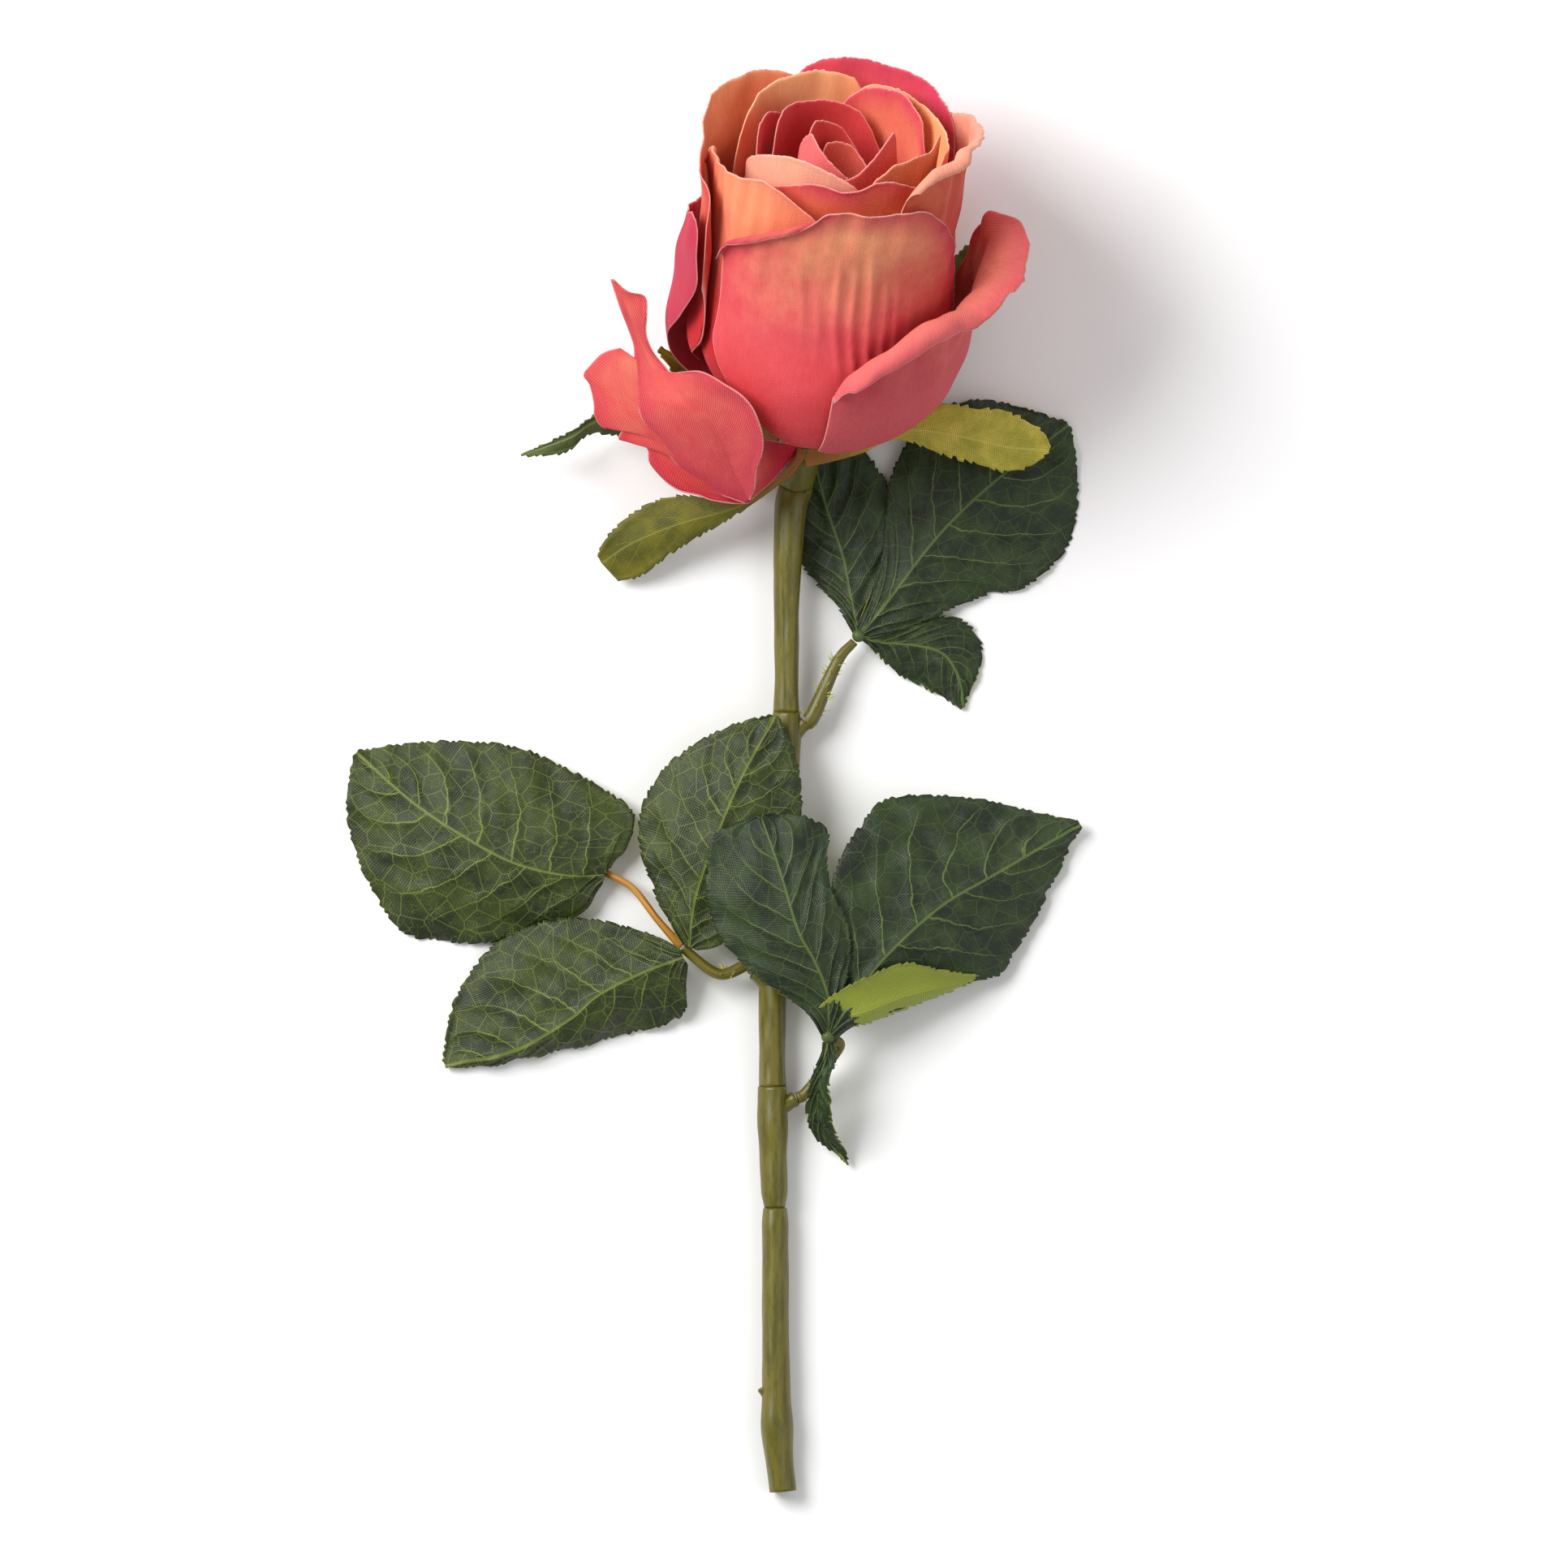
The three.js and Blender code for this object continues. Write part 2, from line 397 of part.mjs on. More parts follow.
const sepals = [
  { name: 'sepal_left', root: [-1, -0.8], length: 54.3, heading: -153, size: bloomSize, columns: 4,
    rib: [[0, 0, 6.4], [0.18, 0.06, 7], [0.35, 0.05, 5], [0.59, 0, 1], [0.82, -0.02, -3], [1, 0, -7]],
    left: [[0, 0.02, 6.4], [0.12, 0.05, 6.6], [0.33, 0.08, 4], [0.5, 0.09, 1], [0.66, 0.1, -2],
      [0.86, 0.13, -6], [1, 0.04, -8]],
    right: [[0, -0.02, 6.6], [0.14, 0.03, 7.6], [0.3, 0.02, 6], [0.42, -0.04, 4], [0.55, -0.12, 2],
      [0.72, -0.14, -1], [0.9, -0.1, -4], [1, -0.03, -6]] },
  { name: 'sepal_right', root: [1.4, -0.4], length: 60.8, heading: 1, size: bloomSize, columns: 4,
    rib: [[0, 0, 6.4], [0.2, 0.05, 6.4], [0.4, 0.1, 6], [0.6, 0.1, 5], [0.82, 0.05, 2], [1, 0, -1]],
    left: [[0, 0.02, 6.4], [0.17, 0.07, 6], [0.38, 0.13, 6], [0.51, 0.21, 4.6], [0.66, 0.2, 3.4],
      [0.82, 0.18, 1], [0.94, 0.1, -0.6], [1, 0, -1]],
    right: [[0, -0.03, 6.4], [0.1, 0, 6], [0.23, 0.03, 5.4], [0.38, 0.07, 5], [0.54, 0.03, 4],
      [0.71, -0.02, 2.4], [0.85, -0.05, 0], [1, 0, -1]] },
  { name: 'sepal_far_left', root: [-6.6, -1], length: 62.8, heading: 178, size: bloomSize, columns: 3,
    rib: [[0, 0, -2], [0.2, -0.04, -4.4], [0.45, -0.12, -3], [0.68, -0.15, 2], [0.8, -0.08, 3], [1, 0, -2]],
    left: [[0, 0.03, -2.2], [0.2, 0.02, -5], [0.45, -0.06, -4.4], [0.7, -0.1, 0.6], [0.82, -0.02, 1.6],
      [1, 0, -2]],
    right: [[0, -0.04, -1.8], [0.2, -0.1, -4.6], [0.45, -0.19, -2.4], [0.66, -0.19, 2], [0.8, -0.1, 3.4],
      [1, 0, -2]] },
  { name: 'sepal_under_right', root: [6.2, 1.4], length: 73.8, heading: 53, size: bloomSize, columns: 3,
    rib: [[0, 0, -2], [0.2, -0.02, -5], [0.5, -0.03, -6.4], [0.8, -0.02, -0.8], [1, 0, 7]],
    left: [[0, 0.02, -2], [0.2, 0.06, -6.4], [0.5, 0.08, -8], [0.8, 0.05, -1.6], [1, 0.01, 7]],
    right: [[0, -0.03, -2], [0.2, -0.1, -4], [0.5, -0.12, -5.4], [0.8, -0.08, 0], [1, -0.01, 7]] },
  { name: 'sepal_under_left', root: [-4.6, 5], length: 38, heading: 143, size: bloomSize, columns: 3,
    rib: [[0, 0, -4], [0.25, 0.02, -7], [0.6, 0.02, -4], [0.85, 0, 2], [1, 0, 5]],
    left: [[0, 0.04, -4], [0.25, 0.12, -6.6], [0.6, 0.15, -2], [0.85, 0.06, 3], [1, 0.01, 5]],
    right: [[0, -0.03, -4], [0.25, -0.08, -8.4], [0.6, -0.1, -6], [0.85, -0.05, 1], [1, -0.01, 5]] },
];

// The reflexed left petal: a low sheet from the hip out to its rolled rim, and a tongue that
// stands over it and meets it along a crease. Stations are millimetres from the hip.
const fromHip = { root: [0, 0], length: 1, heading: 0, size: bloomSize };
const reflexedSheets = [
  { ...fromHip, columns: 5, rows: 9,
    rib: [[-6.8, -1.4, 0], [-12, -8.6, 13], [-20.2, -6.8, 17.4], [-28, -1.6, 20.6], [-34.4, 6.4, 24.4],
      [-38.6, 14, 27], [-40.2, 25.6, 29.6]],
    left: [[-6.6, -1.8, 0], [-9.4, -5, 6], [-12.6, -10.4, 13], [-21, -10.2, 15.4], [-31.8, -6.2, 17.6],
      [-37, -1, 18.6], [-44.8, 5.4, 18], [-50.2, 11, 18], [-52.6, 20, 19.6], [-50, 26.4, 23],
      [-44, 27.4, 27]],
    right: [[-7, 0, 0], [-14, 0, 9.6], [-22, 6, 15.6], [-28, 12, 20], [-34, 20, 25], [-38, 25, 28.6]] },
  { ...fromHip, columns: 5, rows: 10,
    rib: [[-12.2, -10.3, 16.4], [-16, -3, 24], [-19, 4.4, 31.6], [-24, 11, 36.6], [-30, 15.6, 35.6],
      [-35.4, 21.4, 31.6], [-39, 29, 31.4], [-42.4, 37.4, 32.8], [-46.6, 45.2, 34]],
    left: [[-12.6, -10.8, 15.2], [-20.7, -7.3, 16.2], [-28.6, -2.1, 19.2], [-35, 6, 23], [-39.3, 13.8, 25.6],
      [-41, 25.6, 28.2], [-42, 32.2, 30], [-44.3, 37.4, 32], [-46.6, 45.2, 34]],
    right: [[-12, -10, 17], [-11.2, -3.4, 30], [-9.4, 4, 42.4], [-10.4, 11.4, 48], [-16.4, 16.6, 49.6],
      [-24, 21.2, 45], [-31.6, 21.8, 33.4], [-36.4, 29, 32], [-37.6, 38, 33], [-42, 41.8, 33.8],
      [-46.6, 45.2, 34]] },
];

// ---- Stem -----------------------------------------------------------------------------------
const axis = new THREE.Vector3(
  Math.cos(radians(bloomTilt)) * Math.sin(radians(bloomLean)),
  Math.cos(radians(bloomTilt)) * Math.cos(radians(bloomLean)),
  Math.sin(radians(bloomTilt)),
);

function stemCurve() {
  const neck = axis.clone().multiplyScalar(-(hipHalfLength + seatGap));
  neck.z += hipHeight;
  const low = stemRadius + restClearance;
  const spurY = -stemLength - 6 + spurFromEnd;
  return curveThrough([
    neck.toArray(),
    neck.clone().addScaledVector(axis, -neckStraight).toArray(),
    [-2.2, -12, mix(neck.z, low + 4, 0.4)],
    [-3, -30, low + 3.6],
    [-3.1, -58, low + 3],
    [-3.4, -90, low + 2.4],
    [-6.4, -126, low + 1.8],
    [-6.5, -160, low + 1.4],
    [-6, -188, low + 1.2],
    [-5.7, spurY, low + 1],
    [-4.2, -stemLength - 5, low],
  ]);
}

const stem = stemCurve();
const boreRadius = wireRadius + wireClearance;

// One moulded piece: a bored sleeve turned from [share of its length, added radius] pairs.
function sleeve(from, to, swells) {
  const length = to - from - seatGap;
  const rings = Math.ceil(length / ringStep);
  const shares = Array.from({ length: rings + 1 }, (_, ring) => ring / rings);
  const outer = shares.map((share) => new THREE.Vector2(stemRadius + along(swells, share), share * length));
  const bore = shares.reverse().map((share) => new THREE.Vector2(boreRadius, share * length));
  const profile = [...outer, ...bore, outer[0].clone()];
  return bend(new THREE.LatheGeometry(profile, stemSides), stem, from);
}

// A side nub stands on a sleeve at a distance along the stem, turned from the way to the cut end.
function nub(at, turn, rise) {
  const centre = stem.getPointAt(at / stem.getLength());
  const down = stem.getTangentAt(at / stem.getLength());
  const way = down.clone().applyAxisAngle(new THREE.Vector3(0, 0, 1), radians(turn));
  way.z = rise;
  way.normalize();
  const root = centre.clone().addScaledVector(way, boreRadius + 0.6);
  const tip = centre.clone().addScaledVector(way, nubLength + boreRadius);
  return { root, tip, way };
}

function nubSolid({ root, tip, way }, radius) {
  const geometry = new THREE.CylinderGeometry(radius * 0.86, radius * 1.1, root.distanceTo(tip), 10);
  geometry.applyQuaternion(new THREE.Quaternion().setFromUnitVectors(new THREE.Vector3(0, 1, 0), way));
  const middle = root.clone().lerp(tip, 0.5);
  return toManifold(closed(geometry.translate(middle.x, middle.y, middle.z)));
}

// Joins nubs to a sleeve. Each stops inside the sleeve's wall, clear of the bore.
function withNubs(geometry, from, to, nubs) {
  const clear = boreRadius + nubStop;
  const inside = new THREE.CylinderGeometry(clear, clear, to - from, stemSides, 12)
    .translate(0, (to - from) / 2, 0);
  const cut = toManifold(bend(inside, stem, from));
  return fromManifold(nubs.reduce((sum, next) => sum.add(next.subtract(cut)), toManifold(geometry)));
}

const upperNub = nub(forkAt + 7, 134, 0);
const leftNub = nub(nodeAt - 24, -132, 0.25);
const rightNub = nub(nodeAt + 6, 118, 0);
const spurNub = nub(stemLength - spurFromEnd, -150, 0);

function stemMeshes() {
  const end = stem.getLength();
  const neck = sleeve(0, forkAt, [[0, 0.55], [0.08, 0.6], [0.3, 0.25], [0.6, -0.1], [0.88, -0.3],
    [1, 0.1]]);
  const upper = sleeve(forkAt, nodeAt, [[0, 0], [0.06, 0.5], [0.14, 0.1], [0.4, 0], [0.7, 0],
    [0.77, 0.2], [0.98, -0.1], [1, 0.2]]);
  const middle = sleeve(nodeAt, spliceAt, [[0, 0.3], [0.1, 0.5], [0.3, 0.7], [0.5, 0.2], [0.9, 0.1],
    [1, -1.1]]);
  const lower = sleeve(spliceAt, end, [[0, -0.6], [0.04, 0.1], [0.2, 0], [0.5, 0.1], [0.68, 0.3],
    [0.76, 0.9], [0.86, 0.3], [1, 0.05]]);
  const wire = new THREE.CylinderGeometry(wireRadius, wireRadius, end - 2 * wireInset, 8, 32)
    .translate(0, end / 2, 0);
  const upperNubs = [nubSolid(upperNub, nubRadius), nubSolid(leftNub, nubRadius)];
  return [
    named('stem_neck', neck, stemGreen()),
    named('stem_upper', withNubs(upper, forkAt, nodeAt, upperNubs), stemGreen()),
    named('stem_middle', withNubs(middle, nodeAt, spliceAt, [nubSolid(rightNub, nubRadius)]), stemGreen()),
    named('stem_lower', withNubs(lower, spliceAt, end, [nubSolid(spurNub, nubRadius * 0.8)]), stemGreen()),
    named('stem_wire', bend(wire, stem, 0), steel()),
  ];
}

function petioleMesh(name, points, radius, material) {
  const path = curveThrough(points);
  const section = new THREE.Shape().absarc(0, 0, radius, 0, 2 * Math.PI);
  const options = { steps: 8, curveSegments: petioleSides / 2, extrudePath: path };
  return named(name, closed(new THREE.ExtrudeGeometry(section, options)), material);
}

// A petiole starts straight out of its nub.
const outOf = ({ tip, way }) => [seatGap, nubStraight]
  .map((far) => tip.clone().addScaledVector(way, far).toArray());

function petioleMeshes() {
  return [
    petioleMesh('petiole_upper', [...outOf(upperNub), [9.4, -49.4, 5.2], [13, -45.2, 4.8]],
      petioleRadius, stemGreen()),
    petioleMesh('petiole_left', [...outOf(leftNub), [-20, -126.4, 7.8], [-28, -120.8, 7.4]],
      petioleRadius, stemGreen()),
    petioleMesh('petiole_left_end', [[-29.8, -119, 7], [-35, -113, 6.6], [-41, -105.4, 4.8],
      [-47.6, -101.6, 3]], petioleRadius * 0.7, petioleOrange()),
    petioleMesh('petiole_right', [...outOf(rightNub), [6.4, -149.4, 6], [10, -144.2, 8.8],
      [8.4, -142.4, 11.2]], petioleRadius, stemGreen()),
  ];
}

// ---- Assembly -------------------------------------------------------------------------------
const bloom = new THREE.Group();
bloom.rotation.set(radians(bloomTilt - 90), 0, radians(-bloomLean), 'ZXY');
bloom.position.z = hipHeight;
bloom.add(hipMesh(), coreMesh(), ...petals.map(petalMesh));

// The calyx turns about the hip with the bloom: no turn at the pose that it is drawn for.
const calyx = new THREE.Group();
const turned = (x, z, degrees) => new THREE.Quaternion()
  .setFromAxisAngle(new THREE.Vector3(x, 0, z), radians(degrees));
calyx.quaternion.copy(turned(0, 1, -bloomLean))
  .multiply(turned(1, 0, bloomTilt - drawnFor.tilt))
  .multiply(turned(0, 1, drawnFor.lean));
calyx.position.z = hipHeight;
calyx.add(
  named('petal_reflexed_left', joined(reflexedSheets.map(bladeSolid)), coral()),
  ...sepals.map((sepal) => named(sepal.name, bladeSolid(sepal), sepalGreen())),
);

const upperSpray = joined([hub(upperSprayRoot, 5), ...upperLobes.map(bladeSolid)]);
const rightSpray = joined([hub(rightSprayRoot, 14), ...[...rightLobes, rightFold].map(bladeSolid)]);

const rose = new THREE.Group();
rose.add(
  bloom,
  calyx,
  ...stemMeshes(),
  ...petioleMeshes(),
  named('leaf_upper', upperSpray, leafGreen()),
  named('leaf_left_end', bladeSolid(leftEndLeaf), leafGreen()),
  named('leaf_left_low', bladeSolid(leftLowLeaf), leafGreen()),
  named('leaf_left_high', bladeSolid(leftHighLeaf), leafGreen()),
  named('leaf_right', rightSpray, leafGreen()),
);

// The origin is at the middle of the footprint, on the surface.
const bounds = new THREE.Box3().setFromObject(rose, true);
const centre = bounds.getCenter(new THREE.Vector3());
rose.position.set(-centre.x, -centre.y, -bounds.min.z);

const group = new THREE.Group();
group.add(rose);

export default group;
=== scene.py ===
# Artificial cut rose lying on a table: heat-set twill petals, printed cloth leaves and sepals,
# and a moulded stem in four threaded pieces. Shapes are laid out in millimetres from the hip.
import bpy
import math
import numpy as np
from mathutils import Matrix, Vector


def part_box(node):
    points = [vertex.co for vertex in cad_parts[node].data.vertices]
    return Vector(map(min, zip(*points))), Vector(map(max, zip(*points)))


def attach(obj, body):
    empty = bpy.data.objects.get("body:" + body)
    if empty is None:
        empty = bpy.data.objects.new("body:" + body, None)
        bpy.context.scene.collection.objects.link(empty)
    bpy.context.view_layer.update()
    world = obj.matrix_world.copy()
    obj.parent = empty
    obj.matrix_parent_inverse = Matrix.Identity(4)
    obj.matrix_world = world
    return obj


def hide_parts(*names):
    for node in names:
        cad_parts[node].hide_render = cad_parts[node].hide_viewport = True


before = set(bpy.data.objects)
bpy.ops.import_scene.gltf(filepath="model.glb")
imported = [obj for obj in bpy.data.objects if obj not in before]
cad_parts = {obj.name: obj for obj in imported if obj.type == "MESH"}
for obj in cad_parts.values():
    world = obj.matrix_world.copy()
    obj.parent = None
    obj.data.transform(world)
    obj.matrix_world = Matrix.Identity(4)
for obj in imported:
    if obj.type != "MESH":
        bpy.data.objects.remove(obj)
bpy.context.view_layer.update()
mm = 0.001
print("frame loaded:", len(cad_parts), "nodes")


def boxCentre(node):
    low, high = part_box(node)
    return (np.array(low) + np.array(high)) / 2 / mm


hip = boxCentre("hip")
table = np.array([hip[0], hip[1], 0.0])  # below the hip, on the table


# Smooth line through the points.
def spline(points, perSpan=24):
    p = np.array(points, float)
    p = np.vstack([2 * p[0] - p[1], p, 2 * p[-1] - p[-2]])
    t = np.linspace(0, 1, perSpan, endpoint=False)[:, None]
    line = []
    for a, b, c, d in zip(p[:-3], p[1:-2], p[2:-1], p[3:]):
        bend = 2 * a - 5 * b + 4 * c - d
        twist = 3 * b - a - 3 * c + d
        line.append(0.5 * (2 * b + (c - a) * t + bend * t**2 + twist * t**3))
    return np.vstack(line + [p[-2:-1]])


def lineLength(line):
    return float(np.linalg.norm(np.diff(line, axis=0), axis=1).sum())


def alongLine(line, shares):
    steps = np.concatenate([[0], np.cumsum(np.linalg.norm(np.diff(line, axis=0), axis=1))])
    places = np.asarray(shares) * steps[-1]
    return np.stack([np.interp(places, steps, line[:, k]) for k in range(line.shape[1])], -1)


def smoothStep(x):
    x = np.clip(x, 0, 1)
    return x * x * (3 - 2 * x)


def mix(a, b, t):
    return a + (b - a) * t


# Smooth seeded noise of two coordinates, about -1 to 1.
def ripple(a, b, seed, waves=7):
    chance = np.random.default_rng(seed)
    total = 0
    for _ in range(waves):
        turn = chance.uniform(0, 2 * math.pi)
        pitch = chance.uniform(0.5, 1.6)
        along = a * math.cos(turn) + b * math.sin(turn)
        total = total + np.sin(pitch * along * 2 * math.pi + chance.uniform(0, 6.3))
    return total / math.sqrt(waves)


def threeWay(values, u):
    left, middle, right = values
    side = 2 * u - 1
    return np.where(side < 0, mix(middle, left, side**2), mix(middle, right, side**2))


def gridNormals(points):
    across = np.gradient(points, axis=1)
    up = np.gradient(points, axis=0)
    normal = np.cross(across, up)
    return normal / np.maximum(np.linalg.norm(normal, axis=-1, keepdims=True), 1e-9)


# A closed thin shell round a grid of points (rows up the cloth, columns across it).
def clothShell(points, thickness, masks):
    rows, columns = points.shape[:2]
    normal = gridNormals(points)
    outer = (points + normal * thickness / 2).reshape(-1, 3)
    inner = (points - normal * thickness / 2).reshape(-1, 3)
    verts = np.vstack([outer, inner])
    half = rows * columns
    index = np.arange(half).reshape(rows, columns)
    quads = np.stack([index[:-1, :-1], index[:-1, 1:], index[1:, 1:], index[1:, :-1]], -1).reshape(-1, 4)
    loop = np.concatenate([index[0, :-1], index[:-1, -1], index[-1, :0:-1], index[:0:-1, 0]])
    after = np.roll(loop, -1)
    rim = np.stack([loop, loop + half, after + half, after], -1)
    faces = np.vstack([quads, quads[:, ::-1] + half, rim])
    values = {name: np.concatenate([mask.reshape(-1)] * 2) for name, mask in masks.items()}
    values["inner"] = np.concatenate([np.zeros(half), np.ones(half)])
    return verts, faces, values


# Joins shells of (verts in mm, quads, masks) into one smooth object.
def meshObject(name, shells, material):
    verts, faces, start = [], [], 0
    for shellVerts, shellFaces, _ in shells:
        verts.append(shellVerts)
        faces.append(shellFaces + start)
        start += len(shellVerts)
    verts, faces = np.vstack(verts) * mm, np.vstack(faces)
    mesh = bpy.data.meshes.new(name)
    mesh.from_pydata(verts.tolist(), [], faces.tolist())
    for key in sorted({key for shell in shells for key in shell[2]}):
        attribute = mesh.attributes.new(key, "FLOAT", "POINT")
        values = [shell[2].get(key, np.zeros(len(shell[0]))) for shell in shells]
        attribute.data.foreach_set("value", np.concatenate(values).astype(np.float32))
    mesh.polygons.foreach_set("use_smooth", [True] * len(mesh.polygons))
    mesh.validate()
    mesh.update()
    piece = bpy.data.objects.new(name, mesh)
    bpy.context.scene.collection.objects.link(piece)
    mesh.materials.append(material)
    return piece


# Rides on the root body and hides the CAD node it replaces.
def setIn(piece, node):
    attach(piece, "root")
    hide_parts(node)
    return piece


# Measures the longest centre line of the grids, at least 10.5 mm; the length is not used further. The
# width isn't: it is what makes the area three quarters of the rectangle, and at least 10.5 mm.
def declareCloth(grids):
    length = max(lineLength(grid[:, grid.shape[1] // 2]) for grid in grids)
    length = max(length, 10.5)


# A closed tube along centres, with flat ends, and a bore if one is given.
def tubeShell(centres, radii, sides, bore=0.0, relief=None):
    centres = np.asarray(centres, float)
    radii = np.asarray(radii, float)
    tangent = np.gradient(centres, axis=0)
    tangent /= np.linalg.norm(tangent, axis=1, keepdims=True)
    hint = np.array([0, 0, 1.0]) if abs(tangent[0, 2]) < 0.8 else np.array([0, 1.0, 0])
    side = np.cross(tangent, hint)
    side /= np.linalg.norm(side, axis=1, keepdims=True)
    over = np.cross(side, tangent)
    angle = np.linspace(0, 2 * math.pi, sides, endpoint=False)
    ring = side[:, None] * np.cos(angle)[None, :, None] + over[:, None] * np.sin(angle)[None, :, None]
    steps = np.concatenate([[0], np.cumsum(np.linalg.norm(np.diff(centres, axis=0), axis=1))])
    width = radii[:, None] + (relief(steps[:, None], angle[None, :]) if relief else 0)
    skins = [centres[:, None] + ring * width[..., None]]
    if bore:
        skins.append((centres[:, None] + ring * bore)[::-1])
    else:
        skins = [np.concatenate([np.repeat(centres[:1, None], sides, 1), skins[0],
                                 np.repeat(centres[-1:, None], sides, 1)])]
    grid = np.concatenate(skins)
    rows = len(grid)
    index = np.arange(rows * sides).reshape(rows, sides)
    below, above = (index, np.roll(index, -1, 0)) if bore else (index[:-1], index[1:])
    quads = np.stack([below, np.roll(below, -1, 1), np.roll(above, -1, 1), above], -1).reshape(-1, 4)
    lengthways = np.concatenate([steps, steps[::-1]]) if bore else np.concatenate([[0], steps,
                                                                                   [steps[-1]]])
    masks = {"along": np.repeat(lengthways, sides), "around": np.tile(angle, rows)}
    return grid.reshape(-1, 3), quads[:, ::-1], masks


# Merges doubled points, as at the poles of closed tubes.
def weld(piece, distance=0.002):
    import bmesh
    work = bmesh.new()
    work.from_mesh(piece.data)
    bmesh.ops.remove_doubles(work, verts=work.verts, dist=distance * mm)
    bmesh.ops.dissolve_degenerate(work, edges=work.edges, dist=distance * mm)
    bmesh.ops.recalc_face_normals(work, faces=work.faces)
    work.to_mesh(piece.data)
    work.free()
    piece.data.polygons.foreach_set("use_smooth", [True] * len(piece.data.polygons))


view = {"width": 386.4, "distance": 12000, "aside": -3.8, "up": -79.6, "sensor": 36}


def makeCamera():
    camera = bpy.data.cameras.new("camera")
    camera.sensor_width = view["sensor"]
    camera.lens = view["sensor"] * view["distance"] / view["width"]
    camera.clip_end = 100
    rig = bpy.data.objects.new("camera", camera)
    rig.location = (hip + np.array([view["aside"], view["up"], view["distance"]])) * mm
    bpy.context.scene.collection.objects.link(rig)
    bpy.context.scene.camera = rig


lights = [
    {"name": "key", "at": (-1.1, 0.7, 1.3), "size": 1.0, "watts": 36},
    {"name": "fill", "at": (1.2, -0.3, 1.3), "size": 1.4, "watts": 6},
    {"name": "rim", "at": (0.2, 1.6, 0.7), "size": 0.9, "watts": 5},
]


def makeLights():
    for light in lights:
        lamp = bpy.data.lights.new(light["name"], "AREA")
        lamp.size = light["size"]
        lamp.energy = light["watts"]
        rig = bpy.data.objects.new(light["name"], lamp)
        rig.location = light["at"]
        aim = -np.array(light["at"])
        dip = math.atan2(math.hypot(aim[0], aim[1]), -aim[2])
        rig.rotation_euler = (dip, 0, math.atan2(aim[0], -aim[1]) + math.pi)
        bpy.context.scene.collection.objects.link(rig)
    world = bpy.data.worlds.new("studio")
    world.use_nodes = True
    world.node_tree.nodes["Background"].inputs["Color"].default_value = (1, 1, 1, 1)
    world.node_tree.nodes["Background"].inputs["Strength"].default_value = 0.4
    bpy.context.scene.world = world


def makeFloor():
    mesh = bpy.data.meshes.new("floor")
    mesh.from_pydata([(-6, -6, 0), (6, -6, 0), (6, 6, 0), (-6, 6, 0)], [], [(0, 1, 2, 3)])
    floor = bpy.data.objects.new("floor", mesh)
    bpy.context.scene.collection.objects.link(floor)
    paint = bpy.data.materials.new("floorPaint")
    paint.use_nodes = True
    shader = paint.node_tree.nodes["Principled BSDF"]
    shader.inputs["Base Color"].default_value = (0.94, 0.94, 0.94, 1)
    shader.inputs["Roughness"].default_value = 0.9
    mesh.materials.append(paint)


bpy.context.scene.view_settings.view_transform = "Standard"
makeCamera()
makeLights()
makeFloor()
print("camera, light and floor set")


# A paint colour in 0-255 steps as shader values.
def colour(red, green, blue):
    def linear(step):
        c = step / 255
        return c / 12.92 if c <= 0.04045 else ((c + 0.055) / 1.055) ** 2.4
    return (linear(red), linear(green), linear(blue), 1)


# Short helpers for one node tree.
class Wiring:

    def __init__(self, tree):
        self.tree = tree

    def node(self, kind, **settings):
        made = self.tree.nodes.new(kind)
        for name, value in settings.items():
            setattr(made, name, value)
        return made

    def feed(self, socket, value):
        if isinstance(value, bpy.types.NodeSocket):
            self.tree.links.new(value, socket)
        elif value is not None:
            socket.default_value = value

    def math(self, operation, *values, clamp=False):
        made = self.node("ShaderNodeMath", operation=operation, use_clamp=clamp)
        for socket, value in zip(made.inputs, values):
            self.feed(socket, value)
        return made.outputs[0]

    def attribute(self, name):
        return self.node("ShaderNodeAttribute", attribute_name=name).outputs["Fac"]

    def blend(self, factor, first, second, kind="MIX"):
        made = self.node("ShaderNodeMix", data_type="RGBA", blend_type=kind)
        self.feed(made.inputs["Factor"], factor)
        self.feed(made.inputs[6], first)
        self.feed(made.inputs[7], second)
        return made.outputs[2]

    def ramp(self, value, low, high, toLow=0.0, toHigh=1.0):
        made = self.node("ShaderNodeMapRange", interpolation_type="SMOOTHSTEP")
        for socket, item in zip(made.inputs, (value, low, high, toLow, toHigh)):
            self.feed(socket, item)
        return made.outputs[0]

    def noise(self, vector, scale, detail=2.0, roughness=0.5):
        made = self.node("ShaderNodeTexNoise")
        self.feed(made.inputs["Vector"], vector)
        made.inputs["Scale"].default_value = scale
        made.inputs["Detail"].default_value = detail
        made.inputs["Roughness"].default_value = roughness
        return made.outputs["Fac"]

    def grey(self, value):
        made = self.node("ShaderNodeCombineColor")
        for socket in made.inputs[:3]:
            self.feed(socket, value)
        return made.outputs[0]

    def vector(self, x, y, z=0.0):
        made = self.node("ShaderNodeCombineXYZ")
        for socket, item in zip(made.inputs, (x, y, z)):
            self.feed(socket, item)
        return made.outputs[0]


